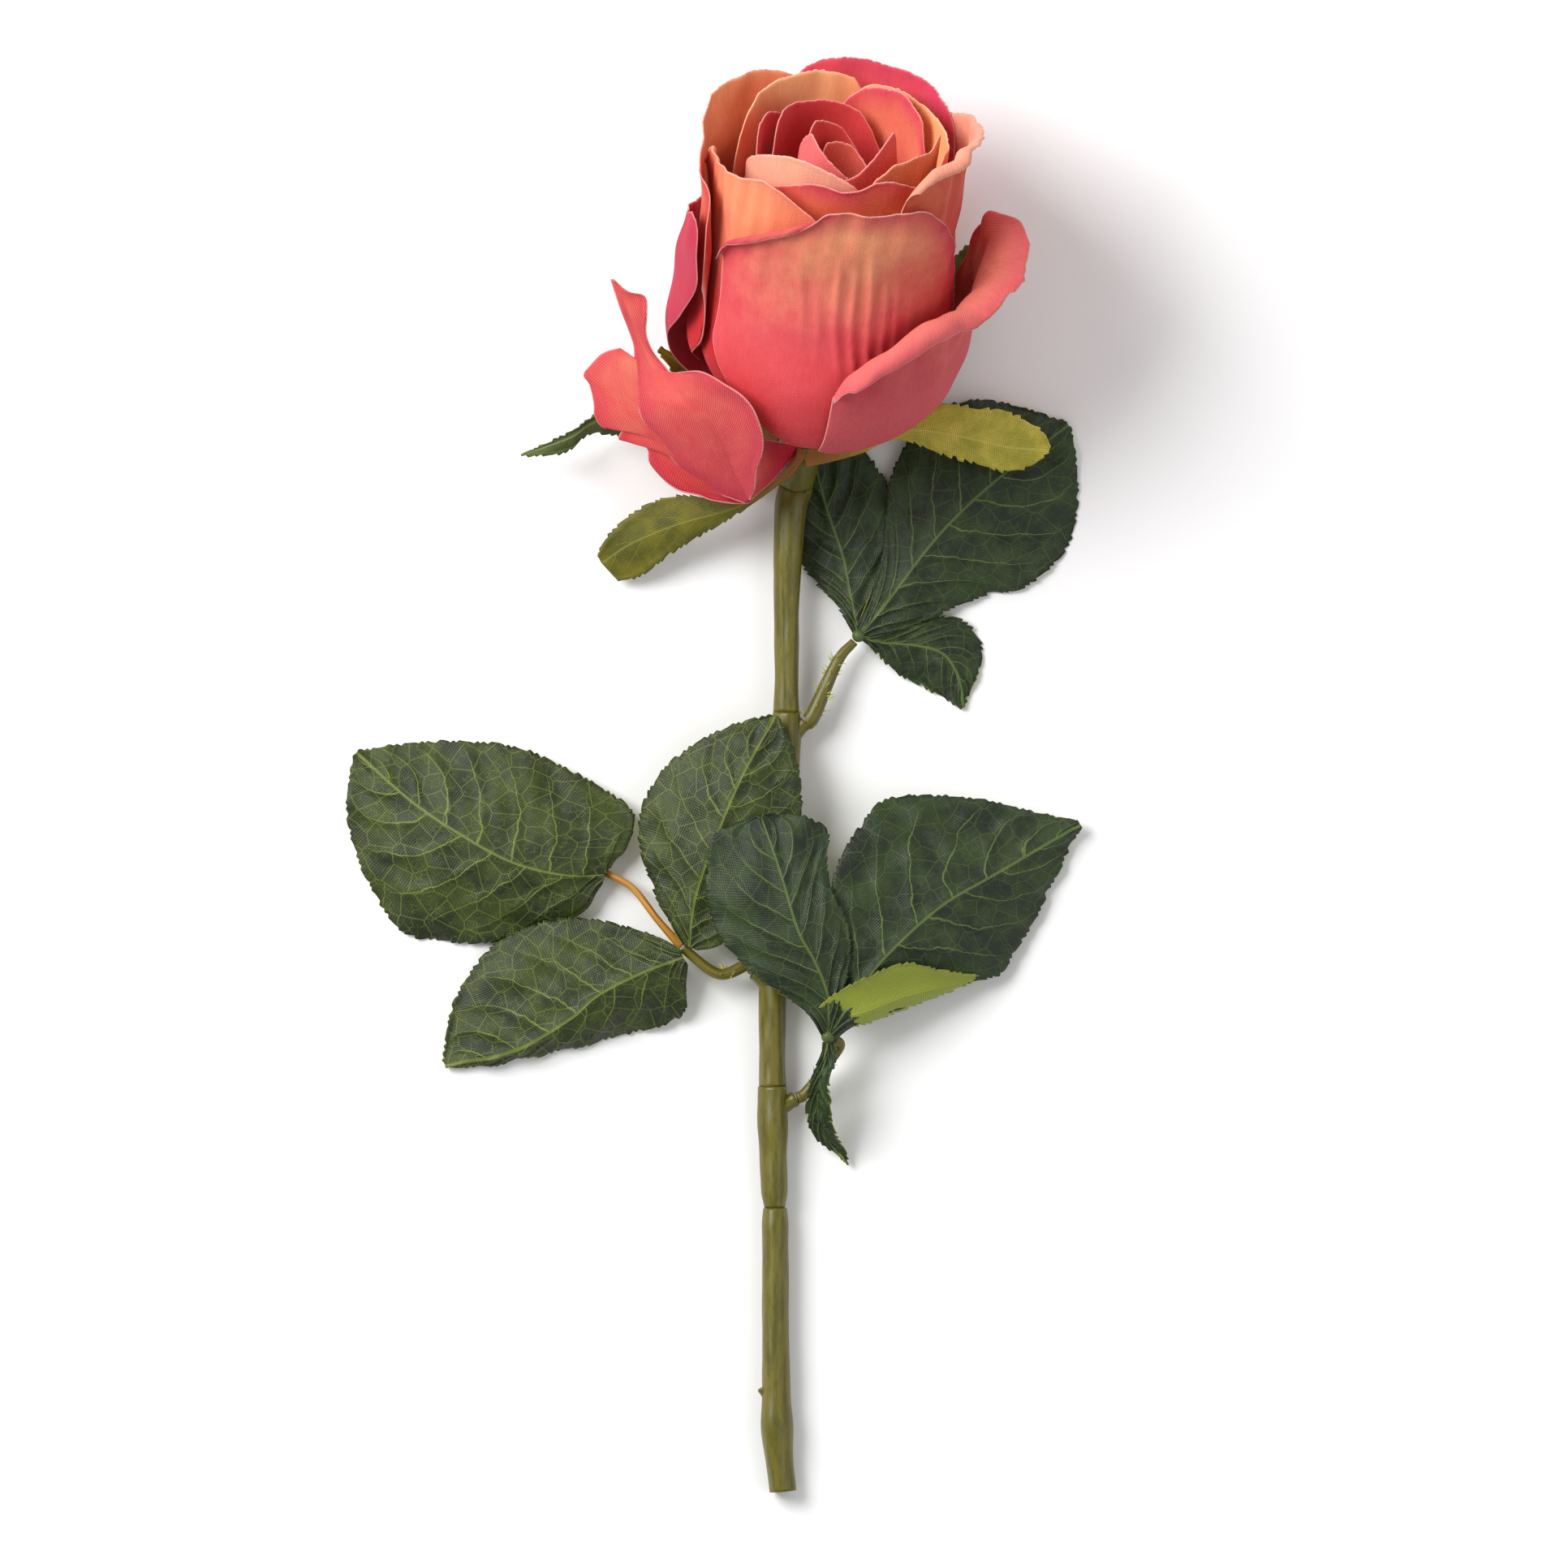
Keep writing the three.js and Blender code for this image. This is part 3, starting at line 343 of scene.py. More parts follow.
def newGroup(name, numbers, colours, outputs):
    group = bpy.data.node_groups.new(name, "ShaderNodeTree")
    for label, value in numbers.items():
        socket = group.interface.new_socket(label, in_out="INPUT", socket_type="NodeSocketFloat")
        socket.default_value = value
    for label in colours:
        group.interface.new_socket(label, in_out="INPUT", socket_type="NodeSocketColor")
    for label in outputs:
        kind = "NodeSocketColor" if label == "colour" else "NodeSocketFloat"
        group.interface.new_socket(label, in_out="OUTPUT", socket_type=kind)
    given = group.nodes.new("NodeGroupInput").outputs
    result = group.nodes.new("NodeGroupOutput").inputs
    return group, Wiring(group), given, result


def useGroup(wire, group, values):
    made = wire.node("ShaderNodeGroup", node_tree=group)
    for label, value in values.items():
        wire.feed(made.inputs[label], value)
    return made.outputs


# Diagonal twill: ribs across the cloth and the finer threads that cross them.
def makeTwill():
    group, wire, given, result = newGroup(
        "twillWeave", {"across": 0.0, "along": 0.0, "pitch": 0.6}, [], ["height", "thread"])
    across, along, pitch = given[0], given[1], given[2]
    turn = 2 * math.pi
    rib = wire.math("DIVIDE", wire.math("ADD", across, along), pitch)
    thread = wire.math("SUBTRACT", along, wire.math("MULTIPLY", across, 0.35))
    thread = wire.math("DIVIDE", thread, pitch)
    wobble = wire.noise(wire.vector(across, along), 0.5, 3)
    rib = wire.math("ADD", rib, wire.math("MULTIPLY", wobble, 0.8))
    ribWave = wire.math("SINE", wire.math("MULTIPLY", rib, turn))
    threadWave = wire.math("SINE", wire.math("MULTIPLY", thread, turn * 1.9))
    height = wire.math("ADD", wire.math("MULTIPLY", ribWave, 0.36),
                       wire.math("MULTIPLY", threadWave, 0.14))
    wire.feed(result["height"], wire.math("ADD", height, 0.5))
    wire.feed(result["thread"], wire.math("ADD", wire.math("MULTIPLY", threadWave, 0.5), 0.5))
    return group


# Plain canvas weave: two sets of threads at right angles.
def makeCanvas():
    group, wire, given, result = newGroup(
        "canvasWeave", {"across": 0.0, "along": 0.0, "pitch": 0.55}, [], ["height"])
    waves = []
    for value in (given[0], given[1]):
        shifted = wire.math("DIVIDE", value, given[2])
        waves.append(wire.math("ABSOLUTE", wire.math("SINE", wire.math("MULTIPLY", shifted, math.pi))))
    wire.feed(result["height"], wire.math("MULTIPLY", waves[0], waves[1]))
    return group


# A leaf's midrib, side veins and the fine net between them, as masks.
def makeVeins():
    numbers = {"side": 0.0, "share": 0.0, "across": 0.0, "along": 0.0, "count": 8.0, "sweep": 0.26}
    group, wire, given, result = newGroup("leafVeins", numbers, [], ["main", "net"])
    side, share, across, along, count, sweep = given[:6]
    away = wire.math("ABSOLUTE", side)
    place = wire.vector(across, along)
    wander = wire.math("MULTIPLY", wire.math("SUBTRACT", wire.noise(place, 0.12, 3), 0.5), 0.07)
    lean = wire.math("MULTIPLY", wire.math("POWER", away, 1.25), sweep)
    odd = wire.math("MULTIPLY", wire.math("SIGN", side), 0.2)
    phase = wire.math("MULTIPLY", wire.math("SUBTRACT", wire.math("ADD", share, wander), lean), count)
    phase = wire.math("ADD", phase, odd)
    off = wire.math("ABSOLUTE", wire.math("SUBTRACT", wire.math("FRACT", phase), 0.5))
    thin = wire.ramp(away, 0.1, 0.9, 0.036, 0.014)
    laterals = wire.ramp(off, wire.math("MULTIPLY", thin, 0.4), thin, 1.0, 0.0)
    laterals = wire.math("MULTIPLY", laterals, wire.ramp(away, 0.7, 0.95, 1.0, 0.0))
    middle = wire.ramp(wire.math("ABSOLUTE", across), 0.12, 0.42, 1.0, 0.0)
    nets = []
    for scale, low, high in ((0.2, 0.012, 0.04), (0.62, 0.02, 0.09)):
        cells = wire.node("ShaderNodeTexVoronoi", feature="DISTANCE_TO_EDGE", voronoi_dimensions="2D")
        wire.feed(cells.inputs["Vector"], wire.vector(wire.math("ADD", across, wander), along))
        cells.inputs["Scale"].default_value = scale
        cells.inputs["Randomness"].default_value = 0.95
        nets.append(wire.ramp(cells.outputs["Distance"], low, high, 1.0, 0.0))
    broken = wire.ramp(wire.noise(place, 0.35, 3), 0.44, 0.6)
    fine = wire.math("MULTIPLY", wire.math("MULTIPLY", nets[1], broken), 0.55)
    wire.feed(result["main"], wire.math("MAXIMUM", laterals, middle))
    wire.feed(result["net"], wire.math("MAXIMUM", wire.math("MULTIPLY", nets[0], 0.75), fine))
    return group


twill = makeTwill()
canvas = makeCanvas()
veins = makeVeins()


def newMaterial(name):
    material = bpy.data.materials.new(name)
    material.use_nodes = True
    wire = Wiring(material.node_tree)
    return material, wire, material.node_tree.nodes["Principled BSDF"]


def bump(wire, height, strength, distance, under=None):
    made = wire.node("ShaderNodeBump")
    made.inputs["Strength"].default_value = strength
    made.inputs["Distance"].default_value = distance * mm
    wire.feed(made.inputs["Height"], height)
    if under is not None:
        wire.feed(made.inputs["Normal"], under)
    return made.outputs["Normal"]


petalDyes = {
    "outer": colour(222, 78, 82), "inner": colour(236, 118, 96), "warm": colour(243, 162, 108),
    "deep": colour(200, 28, 36), "rim": colour(188, 36, 70), "pale": colour(248, 196, 182),
}


# Sprayed petal cloth: a warm and a deep blush (on the reflexed petal's foot, painted shade), a dark rim,
# the weave's shade and a pale frayed edge.
def makePetalDye():
    masks = ["across", "along", "inner", "edge", "warm", "deep", "rim"]
    dyes = ["outerDye", "innerDye", "warmDye", "deepDye", "rimDye", "paleDye"]
    group, wire, given, result = newGroup(
        "petalDye", dict.fromkeys(masks, 0.0), dyes, ["colour", "roughness", "height"])
    across, along, inner, warm, deep = [given[key] for key in ("across", "along", "inner", "warm",
                                                               "deep")]
    mottle = wire.noise(wire.vector(across, along, inner), 0.12, 4, 0.6)
    swing = wire.math("SUBTRACT", mottle, 0.5)
    base = wire.blend(inner, given["outerDye"], given["innerDye"])
    spread = wire.math("ADD", wire.math("MULTIPLY", swing, 0.5), warm, clamp=True)
    base = wire.blend(wire.math("MULTIPLY", spread, wire.ramp(warm, 0.0, 0.1)), base, given["warmDye"])
    spread = wire.math("ADD", wire.math("MULTIPLY", swing, -0.6), deep, clamp=True)
    base = wire.blend(wire.math("MULTIPLY", spread, wire.ramp(deep, 0.0, 0.1)), base, given["deepDye"])
    stain = wire.math("MULTIPLY", given["rim"], wire.ramp(mottle, 0.3, 0.7, 0.45, 1.0))
    base = wire.blend(stain, base, given["rimDye"])
    weave = useGroup(wire, twill, {"across": across, "along": along})
    drawn = wire.vector(wire.math("MULTIPLY", across, 3.0), wire.math("MULTIPLY", along, 0.3))
    streak = wire.noise(drawn, 0.8, 3)
    shade = wire.math("ADD", wire.math("MULTIPLY", weave["height"], 0.46),
                      wire.math("MULTIPLY", streak, 0.34))
    base = wire.blend(1.0, base, wire.grey(wire.math("ADD", shade, 0.6)), "MULTIPLY")
    fray = wire.noise(wire.vector(across, along), 2.4, 2)
    frayLine = wire.ramp(given["edge"], 0.05, wire.math("MULTIPLY", fray, 0.7), 0.42, 0.0)
    wire.feed(result["colour"], wire.blend(frayLine, base, given["paleDye"]))
    wire.feed(result["roughness"], wire.math("ADD", wire.math("MULTIPLY", weave["thread"], 0.12), 0.72))
    wire.feed(result["height"], weave["height"])
    return group


petalDye = makePetalDye()


def petalMaterial(name, dyes):
    material, wire, shader = newMaterial(name)
    values = {key: wire.attribute(key) for key in ("across", "along", "inner", "edge", "warm", "deep",
                                                   "rim")}
    values.update({key + "Dye": value for key, value in {**petalDyes, **dyes}.items()})
    cloth = useGroup(wire, petalDye, values)
    wire.feed(shader.inputs["Base Color"], cloth["colour"])
    wire.feed(shader.inputs["Roughness"], cloth["roughness"])
    wire.feed(shader.inputs["Normal"], bump(wire, cloth["height"], 0.7, 0.14))
    shader.inputs["Sheen Weight"].default_value = 0.06
    shader.inputs["Sheen Roughness"].default_value = 0.45
    shader.inputs["Sheen Tint"].default_value = (1, 0.8, 0.78, 1)
    shader.inputs["Specular IOR Level"].default_value = 0.25
    return material


bloom = {
    "tilt": 32, "lean": 8.4, "belly": 36.5, "layerPitch": 1.65, "bellyShare": 0.52,
    "frontFullness": 4.2, "backFullness": 2.3, "fullHeight": 85,
    "coreRadius": 4.4, "coreTaper": 0.115, "coreBase": 6.7, "tabHalfWidth": 2.6, "thickness": 0.32,
}
tilt, lean = math.radians(bloom["tilt"]), math.radians(bloom["lean"])
axisWay = np.array([math.cos(tilt) * math.sin(lean), math.cos(tilt) * math.cos(lean), math.sin(tilt)])
frontWay = np.array([-math.sin(tilt) * math.sin(lean), -math.sin(tilt) * math.cos(lean), math.cos(tilt)])
rightWay = np.array([math.cos(lean), -math.sin(lean), 0])

# A crest is the rim as (azimuth, height): azimuth 0 is the front, 90 the right.
# flare pushes the rim out at the left, middle and right; curl rolls it outwards, as
# (azimuth, degrees, radius of the roll).
petals = [
    {"name": "petal_front", "layer": 1.2, "foot": 10.4, "flare": (0.4, 1, 0.4), "waist": 0.5,
     "curl": [(-49, 165, 1.3), (-30, 200, 1.35), (-12, 190, 1.1), (-5, 60, 1.2), (10, 40, 1.4),
              (40, 55, 1.5), (60, 20, 1.2), (74, 0, 1.2)],
     "warm": (0.0, 0.75, 0.1), "lowDeep": 0.6, "deepFrom": 0.66, "deep": (0.3, 0.05, 0.85), "rim": 0.95,
     "pleats": [(-9, 1.5, 0.5, 50, 80), (-2, 1.4, 0.5, 46, 74), (7, 1.5, 0.9, 42, 84),
                (13.7, 1.3, 1.0, 38, 82), (20.6, 1.5, 1.05, 36, 86), (27.2, 1.3, 0.9, 38, 78),
                (33, 1.5, 0.75, 42, 76), (40, 1.6, 0.5, 44, 70)],
     "crest": [(-49, 70), (-47.5, 74), (-34.5, 80), (-23, 85), (-15, 88), (-6, 91), (-4.5, 93.4),
               (4, 94.4), (14.5, 94), (24, 94.4), (31, 94.6), (39, 93.4), (49, 88), (60, 79), (68, 68),
               (74, 58)],
     "dye": {"outer": colour(228, 90, 96), "warm": colour(240, 168, 116)}},
    {"name": "petal_right_outer", "layer": -0.3, "foot": 7.2, "fullness": 3, "flare": (0.4, 0.4, 0),
     "waist": 0.26,
     "curl": [(9, 130, 2.2), (15, 185, 2.8), (37, 205, 3), (54, 200, 3), (60, 165, 4.2), (66, 115, 8),
              (73, 103, 11), (80, 93, 11), (88, 78, 10), (100, 30, 5), (120, 10, 3)],
     "warm": (0, 0.1, 0.4), "deep": (0.1, 0.1, 0.1), "rim": 0.75,
     "crest": [(9, 43), (12.5, 48.6), (21.5, 54.2), (29.5, 58.4), (37, 61.2), (44, 63.2), (52.5, 63.4),
               (60, 63.4), (66, 69), (73, 70), (80, 76), (88, 79), (100, 75.6), (112, 66), (120, 50)],
     "dye": {"outer": colour(204, 84, 92), "inner": colour(238, 130, 118), "rim": colour(214, 66, 92)}},
    {"name": "petal_left_outer", "layer": -0.6, "foot": 8.2, "flare": (0, -1.2, 0), "flareFrom": 0.5,
     "waist": 0.7,
     "curl": [(-150, 40, 1.8), (-120, 30, 1.8), (-57, 10, 1.2)], "warm": (0, 0, 0), "deep": (0, 0, 0),
     "rim": 0.3,
     "lowDeep": 0.1,
     "crest": [(-150, 50), (-135, 57), (-120, 61), (-105, 64), (-92, 66.4), (-80, 70), (-71, 74),
               (-65, 74.4), (-60, 70), (-57, 60)],
     "dye": {"outer": colour(186, 44, 70), "inner": colour(212, 72, 92)}},
    {"name": "petal_back_outer", "layer": 0.6, "foot": 9.2, "flare": (0.4, 2, 1.4),
     "curl": [(122, 30, 1.5), (165, 60, 1.5), (206, 30, 1.5)], "warm": (0, 0.1, 0),
     "deep": (0.3, 0.1, 0.3), "rim": 0.6,
     "crest": [(122, 56), (132, 72), (152, 80), (180, 80), (198, 70), (206, 54)], "dye": {}},
    {"name": "petal_right", "layer": 3, "foot": 11.6, "flare": (0, 0.6, 0.6), "flareFrom": 0.82,
     "tuck": (85, 28, 1.7),
     "curl": [(24, 0, 1.2), (31, 0, 1.2), (35, 160, 1.3), (44, 190, 1.6), (58, 165, 1.9), (70, 100, 2.6),
              (90, 70, 3.4), (112, 55, 3.4), (134, 30, 2.4), (148, 10, 2)],
     "warm": (0.6, 0, 0), "deep": (0.1, 0, 0.2), "rim": 0.1, "lowDeep": 0.7, "deepFrom": 0.95,
     "crest": [(24, 72), (31, 95.6), (36.5, 100.6), (43.5, 103), (56, 103.6), (66, 104), (75, 103.6),
               (90, 101), (105, 98.4), (110.5, 98), (119.5, 96.6), (127, 94), (134, 92), (148, 82)],
     "dye": {"outer": colour(204, 82, 66), "inner": colour(242, 160, 136)}},
    {"name": "petal_back", "layer": 3.9, "foot": 12.6, "flare": (0, 2.4, 1),
     "curl": [(116, 30, 1.5), (165, 40, 1.5), (216, 50, 1.5)], "warm": (0, 0, 0), "deep": (0.1, 0.1, 0.1),
     "rim": 1.0,
     "crest": [(116, 84), (131, 94.4), (142.5, 96.4), (151.5, 97.2), (159, 97.4), (165, 97), (169, 97),
               (176, 97.4), (185.5, 97.6), (195, 96.5), (203, 94), (208, 91), (216, 82)],
     "dye": {"inner": colour(232, 92, 96), "rim": colour(200, 52, 88)}},
    {"name": "petal_left_back", "layer": 2.2, "foot": 13.6, "flare": (0.5, 2.8, 2.4), "flareFrom": 0.72,
     "waist": 0.42,
     "curl": [(-168, 20, 1.5), (-120, 30, 1.5), (-58, 20, 1.5)], "warm": (0.9, 0.8, 0.2),
     "deep": (0, 0.1, 0.85),
     "rim": 0.1, "lowDeep": 0.9, "deepFrom": 0.9,
     "crest": [(-168, 86), (-151, 92), (-144, 93), (-137, 94), (-130, 94.4), (-119, 94.4), (-110, 93.6),
               (-101, 92), (-92, 89), (-82, 86), (-74, 85), (-66, 83.6), (-61, 80), (-59, 70), (-58, 58)],
     "dye": {"inner": colour(255, 150, 118), "outer": colour(214, 56, 58),
             "warm": colour(255, 176, 122)}},
    {"name": "petal_front_left", "layer": 3.6, "foot": 14.6, "flare": (2.2, 1.6, 0.6),
     "curl": [(-94, 60, 1.4), (-80, 70, 1.4), (-60, 40, 1.2), (-30, 60, 1.2), (4, 10, 1.2)],
     "warm": (0.9, 0.7, 0.2), "deep": (0.2, 0, 0), "rim": 0.1, "lowDeep": 1.0, "deepFrom": 0.86,
     "crest": [(-94, 80), (-86, 87), (-81, 89.6), (-74, 89), (-66, 89.4), (-50, 91), (-45, 92), (-35, 95),
               (-26, 94), (-17.5, 91), (-8.5, 88.5), (4, 78)],
     "dye": {"outer": colour(236, 104, 92)}},
    {"name": "petal_inner_back", "layer": 6.2, "foot": 15.8, "flare": (0.4, 0.6, 0.4),
     "curl": [(-188, 20, 1.2), (-97, 10, 1.2)], "warm": (0.8, 1, 0.8), "deep": (0, 0, 0.1), "rim": 0.0,
     "lowDeep": 0.1,
     "crest": [(-188, 90), (-179.5, 95), (-170.5, 96.4), (-158, 97), (-147, 96.6), (-136.5, 96),
               (-127, 95), (-115.5, 94), (-108, 90), (-102, 82), (-97, 72)],
     "dye": {"inner": colour(255, 162, 118), "warm": colour(255, 188, 132)}},
    {"name": "petal_inner_front", "layer": 6.3, "foot": 15.8, "flare": (0.6, 0.8, 0.6),
     "curl": [(-54, 10, 1.2), (0, 60, 1.2), (60, 10, 1.2)], "warm": (0.2, 0.1, 0.5),
     "deep": (0.1, 0.1, 0.1),
     "rim": 1.0, "lowDeep": 0.0,
     "crest": [(-54, 80), (-45, 87), (-38.5, 90), (-27, 93), (-16, 95.6), (-7, 96), (1.5, 95), (11.5, 96),
               (18.5, 98), (27.5, 98), (37.5, 96), (46, 94), (60, 82)],
     "dye": {"outer": colour(244, 118, 84), "rim": colour(204, 62, 80)}},
    {"name": "petal_inner_right", "layer": 7.3, "foot": 17, "flare": (0.4, 0.6, 0.4),
     "curl": [(50, 20, 1.2), (188, 10, 1.2)], "warm": (0.8, 0.7, 0.6), "deep": (0, 0, 0.1), "rim": 0.0,
     "lowDeep": 0.1,
     "crest": [(50, 86), (55.5, 91), (68, 95), (76, 96.4), (90, 95.5), (103.5, 94.5), (117, 95),
               (132, 95.5), (145.5, 96), (155, 96.5), (165, 96), (174.5, 95), (188, 84)],
     "dye": {"inner": colour(255, 152, 100), "warm": colour(255, 180, 120)}},
    {"name": "petal_pale_front", "layer": 8.3, "foot": 18, "flare": (0.8, 1, 0.2),
     "curl": [(-90, 20, 1.2), (-30, 50, 1.3), (24, 0, 1.2)], "warm": (0.5, 0.5, 0.2), "deep": (0, 0, 0.1),
     "rim": 0.0,
     "lowDeep": 0.0,
     "crest": [(-90, 78), (-80, 86), (-70, 90), (-63.5, 92), (-50, 95.5), (-34, 98.4), (-22.5, 99.4),
               (-9.5, 98), (3, 96), (11.5, 93.6), (24, 80)],
     "dye": {"outer": colour(242, 160, 140), "warm": colour(248, 186, 150)}},
    {"name": "petal_peak_right", "layer": 9.3, "foot": 19.2, "flare": (0.4, 0.6, 1.6), "sharp": True,
     "curl": [(8, 10, 1.2), (50, 20, 1.2), (92, 0, 1.2)], "warm": (0.2, 0.2, 0.6), "deep": (0, 0, 0),
     "rim": 0.1,
     "lowDeep": 0.0,
     "crest": [(8, 78), (22.5, 95), (34.5, 99), (55.5, 99.4), (70, 98), (78, 99), (84, 101), (92, 84)],
     "dye": {"outer": colour(228, 138, 96), "inner": colour(236, 130, 92)}},
    {"name": "petal_nested_left", "layer": 9.4, "foot": 19.2, "flare": (0.4, 0.6, 0.4),
     "curl": [(-152, 10, 1.2), (-84, 10, 1.2)], "warm": (0, 0, 0), "deep": (0.2, 0.1, 0.1), "rim": 0.2,
     "lowDeep": 0.2,
     "crest": [(-152, 76), (-134, 88), (-126, 91), (-114, 93), (-96, 93), (-84, 82)],
     "dye": {"inner": colour(228, 92, 86)}},
    {"name": "petal_nested_back", "layer": 9.5, "foot": 19.2, "flare": (0.4, 0.8, 0.4),
     "curl": [(112, 10, 1.2), (150, 30, 1.2), (196, 10, 1.2)], "warm": (0.5, 0.3, 0.3),
     "deep": (0, 0.05, 0),
     "rim": 1.0, "lowDeep": 0.1,
     "crest": [(112, 84), (119, 91), (125, 95), (135.5, 97), (147.5, 98), (162, 97.5), (174, 96),
               (184.5, 92), (196, 80)],
     "dye": {"inner": colour(238, 106, 92), "rim": colour(214, 58, 90)}},
    {"name": "petal_heart_back", "layer": 11.6, "foot": 21.2, "flare": (0.2, 0.4, 0.2),
     "curl": [(145, 10, 1.2), (276, 10, 1.2)], "warm": (0, 0, 0), "deep": (0.2, 0.2, 0.2), "rim": 0.2,
     "lowDeep": 0.3,
     "crest": [(145, 80), (154.5, 84), (159.5, 87), (171, 91), (185, 93), (199, 94), (213, 94.4),
               (229.5, 95), (250, 96), (266, 93), (276, 84)],
     "dye": {"inner": colour(224, 76, 76)}},
    {"name": "petal_heart_front", "layer": 13.2, "foot": 22.4, "flare": (0.2, 0.6, 1.2), "sharp": True,
     "curl": [(-22, 0, 1.2), (70, 0, 1.2)], "warm": (0, 0, 0.1), "deep": (0, 0, 0), "rim": 0.2,
     "lowDeep": 0.2,
     "crest": [(-22, 82), (-3, 90), (14.5, 93), (30, 98), (40, 102), (45, 104.6), (50, 102), (58, 92),
               (70, 80)],
     "dye": {"outer": colour(230, 100, 92), "inner": colour(230, 92, 80)}},
    {"name": "petal_bud_front", "layer": 15.6, "foot": 24.4, "flare": (0.4, 0.2, 0.2), "sharp": True,
     "curl": [(-95, 0, 1.2), (-52, 20, 1.2), (40, 0, 1.2)], "warm": (0, 0, 0), "deep": (0, 0, 0),
     "rim": 0.0,
     "lowDeep": 0.2,
     "crest": [(-95, 84), (-80, 91), (-66, 95.4), (-53, 98), (-41.5, 96.6), (-18.5, 93), (10, 89),
               (40, 82)],
     "dye": {"outer": colour(236, 116, 118)}},
    {"name": "petal_bud_back", "layer": 16.4, "foot": 25.4, "flare": (0.1, 0.2, 0.1),
     "curl": [(150, 0, 1.2), (275, 0, 1.2)], "warm": (0, 0, 0), "deep": (0.1, 0.1, 0.1), "rim": 0.2,
     "lowDeep": 0.3,
     "crest": [(140, 80), (160, 85), (177, 88.4), (189, 91), (211, 93), (237, 94.4), (258, 93),
               (275, 84)],
     "dye": {"inner": colour(226, 84, 76)}},
    {"name": "petal_bud_right", "layer": 18.2, "foot": 27.4, "flare": (0.1, 0.2, 0.1),
     "curl": [(30, 0, 1.2), (250, 0, 1.2)], "warm": (0, 0, 0), "deep": (0.1, 0.1, 0.1), "rim": 0.2,
     "lowDeep": 0.3,
     "crest": [(30, 74), (70, 82), (120, 85), (150, 86.4), (166, 88), (196, 89), (229, 89), (250, 80)],
     "dye": {}},
    {"name": "petal_bud_heart", "layer": 19.9, "foot": 29.4, "flare": (0, 0, 0),
     "curl": [(-130, 0, 1.2), (70, 0, 1.2)], "warm": (0, 0, 0), "deep": (0, 0, 0), "rim": 0.1,
     "lowDeep": 0.3,
     "crest": [(-130, 72), (-80, 84), (-20, 87), (30, 84), (70, 74)],
     "dye": {"outer": colour(232, 108, 108)}},
]


# The rim's height over a run of azimuths, with its corners rounded.
def crestHeights(petal, azimuths):
    given = np.array(petal["crest"], float)
    fine = np.linspace(given[0, 0], given[-1, 0], 400)
    line = np.interp(fine, given[:, 0], given[:, 1])
    reach = 2.5 if petal.get("sharp") else 5.5
    taps = np.exp(-0.5 * (np.arange(-30, 31) / reach) ** 2)
    slopeIn, slopeOut = line[0] - line[1], line[-1] - line[-2]
    before, after = line[0] + slopeIn * np.arange(30, 0, -1), line[-1] + slopeOut * np.arange(1, 31)
    padded = np.concatenate([before, line, after])
    return np.interp(azimuths, fine, np.convolve(padded, taps / taps.sum(), "valid"))


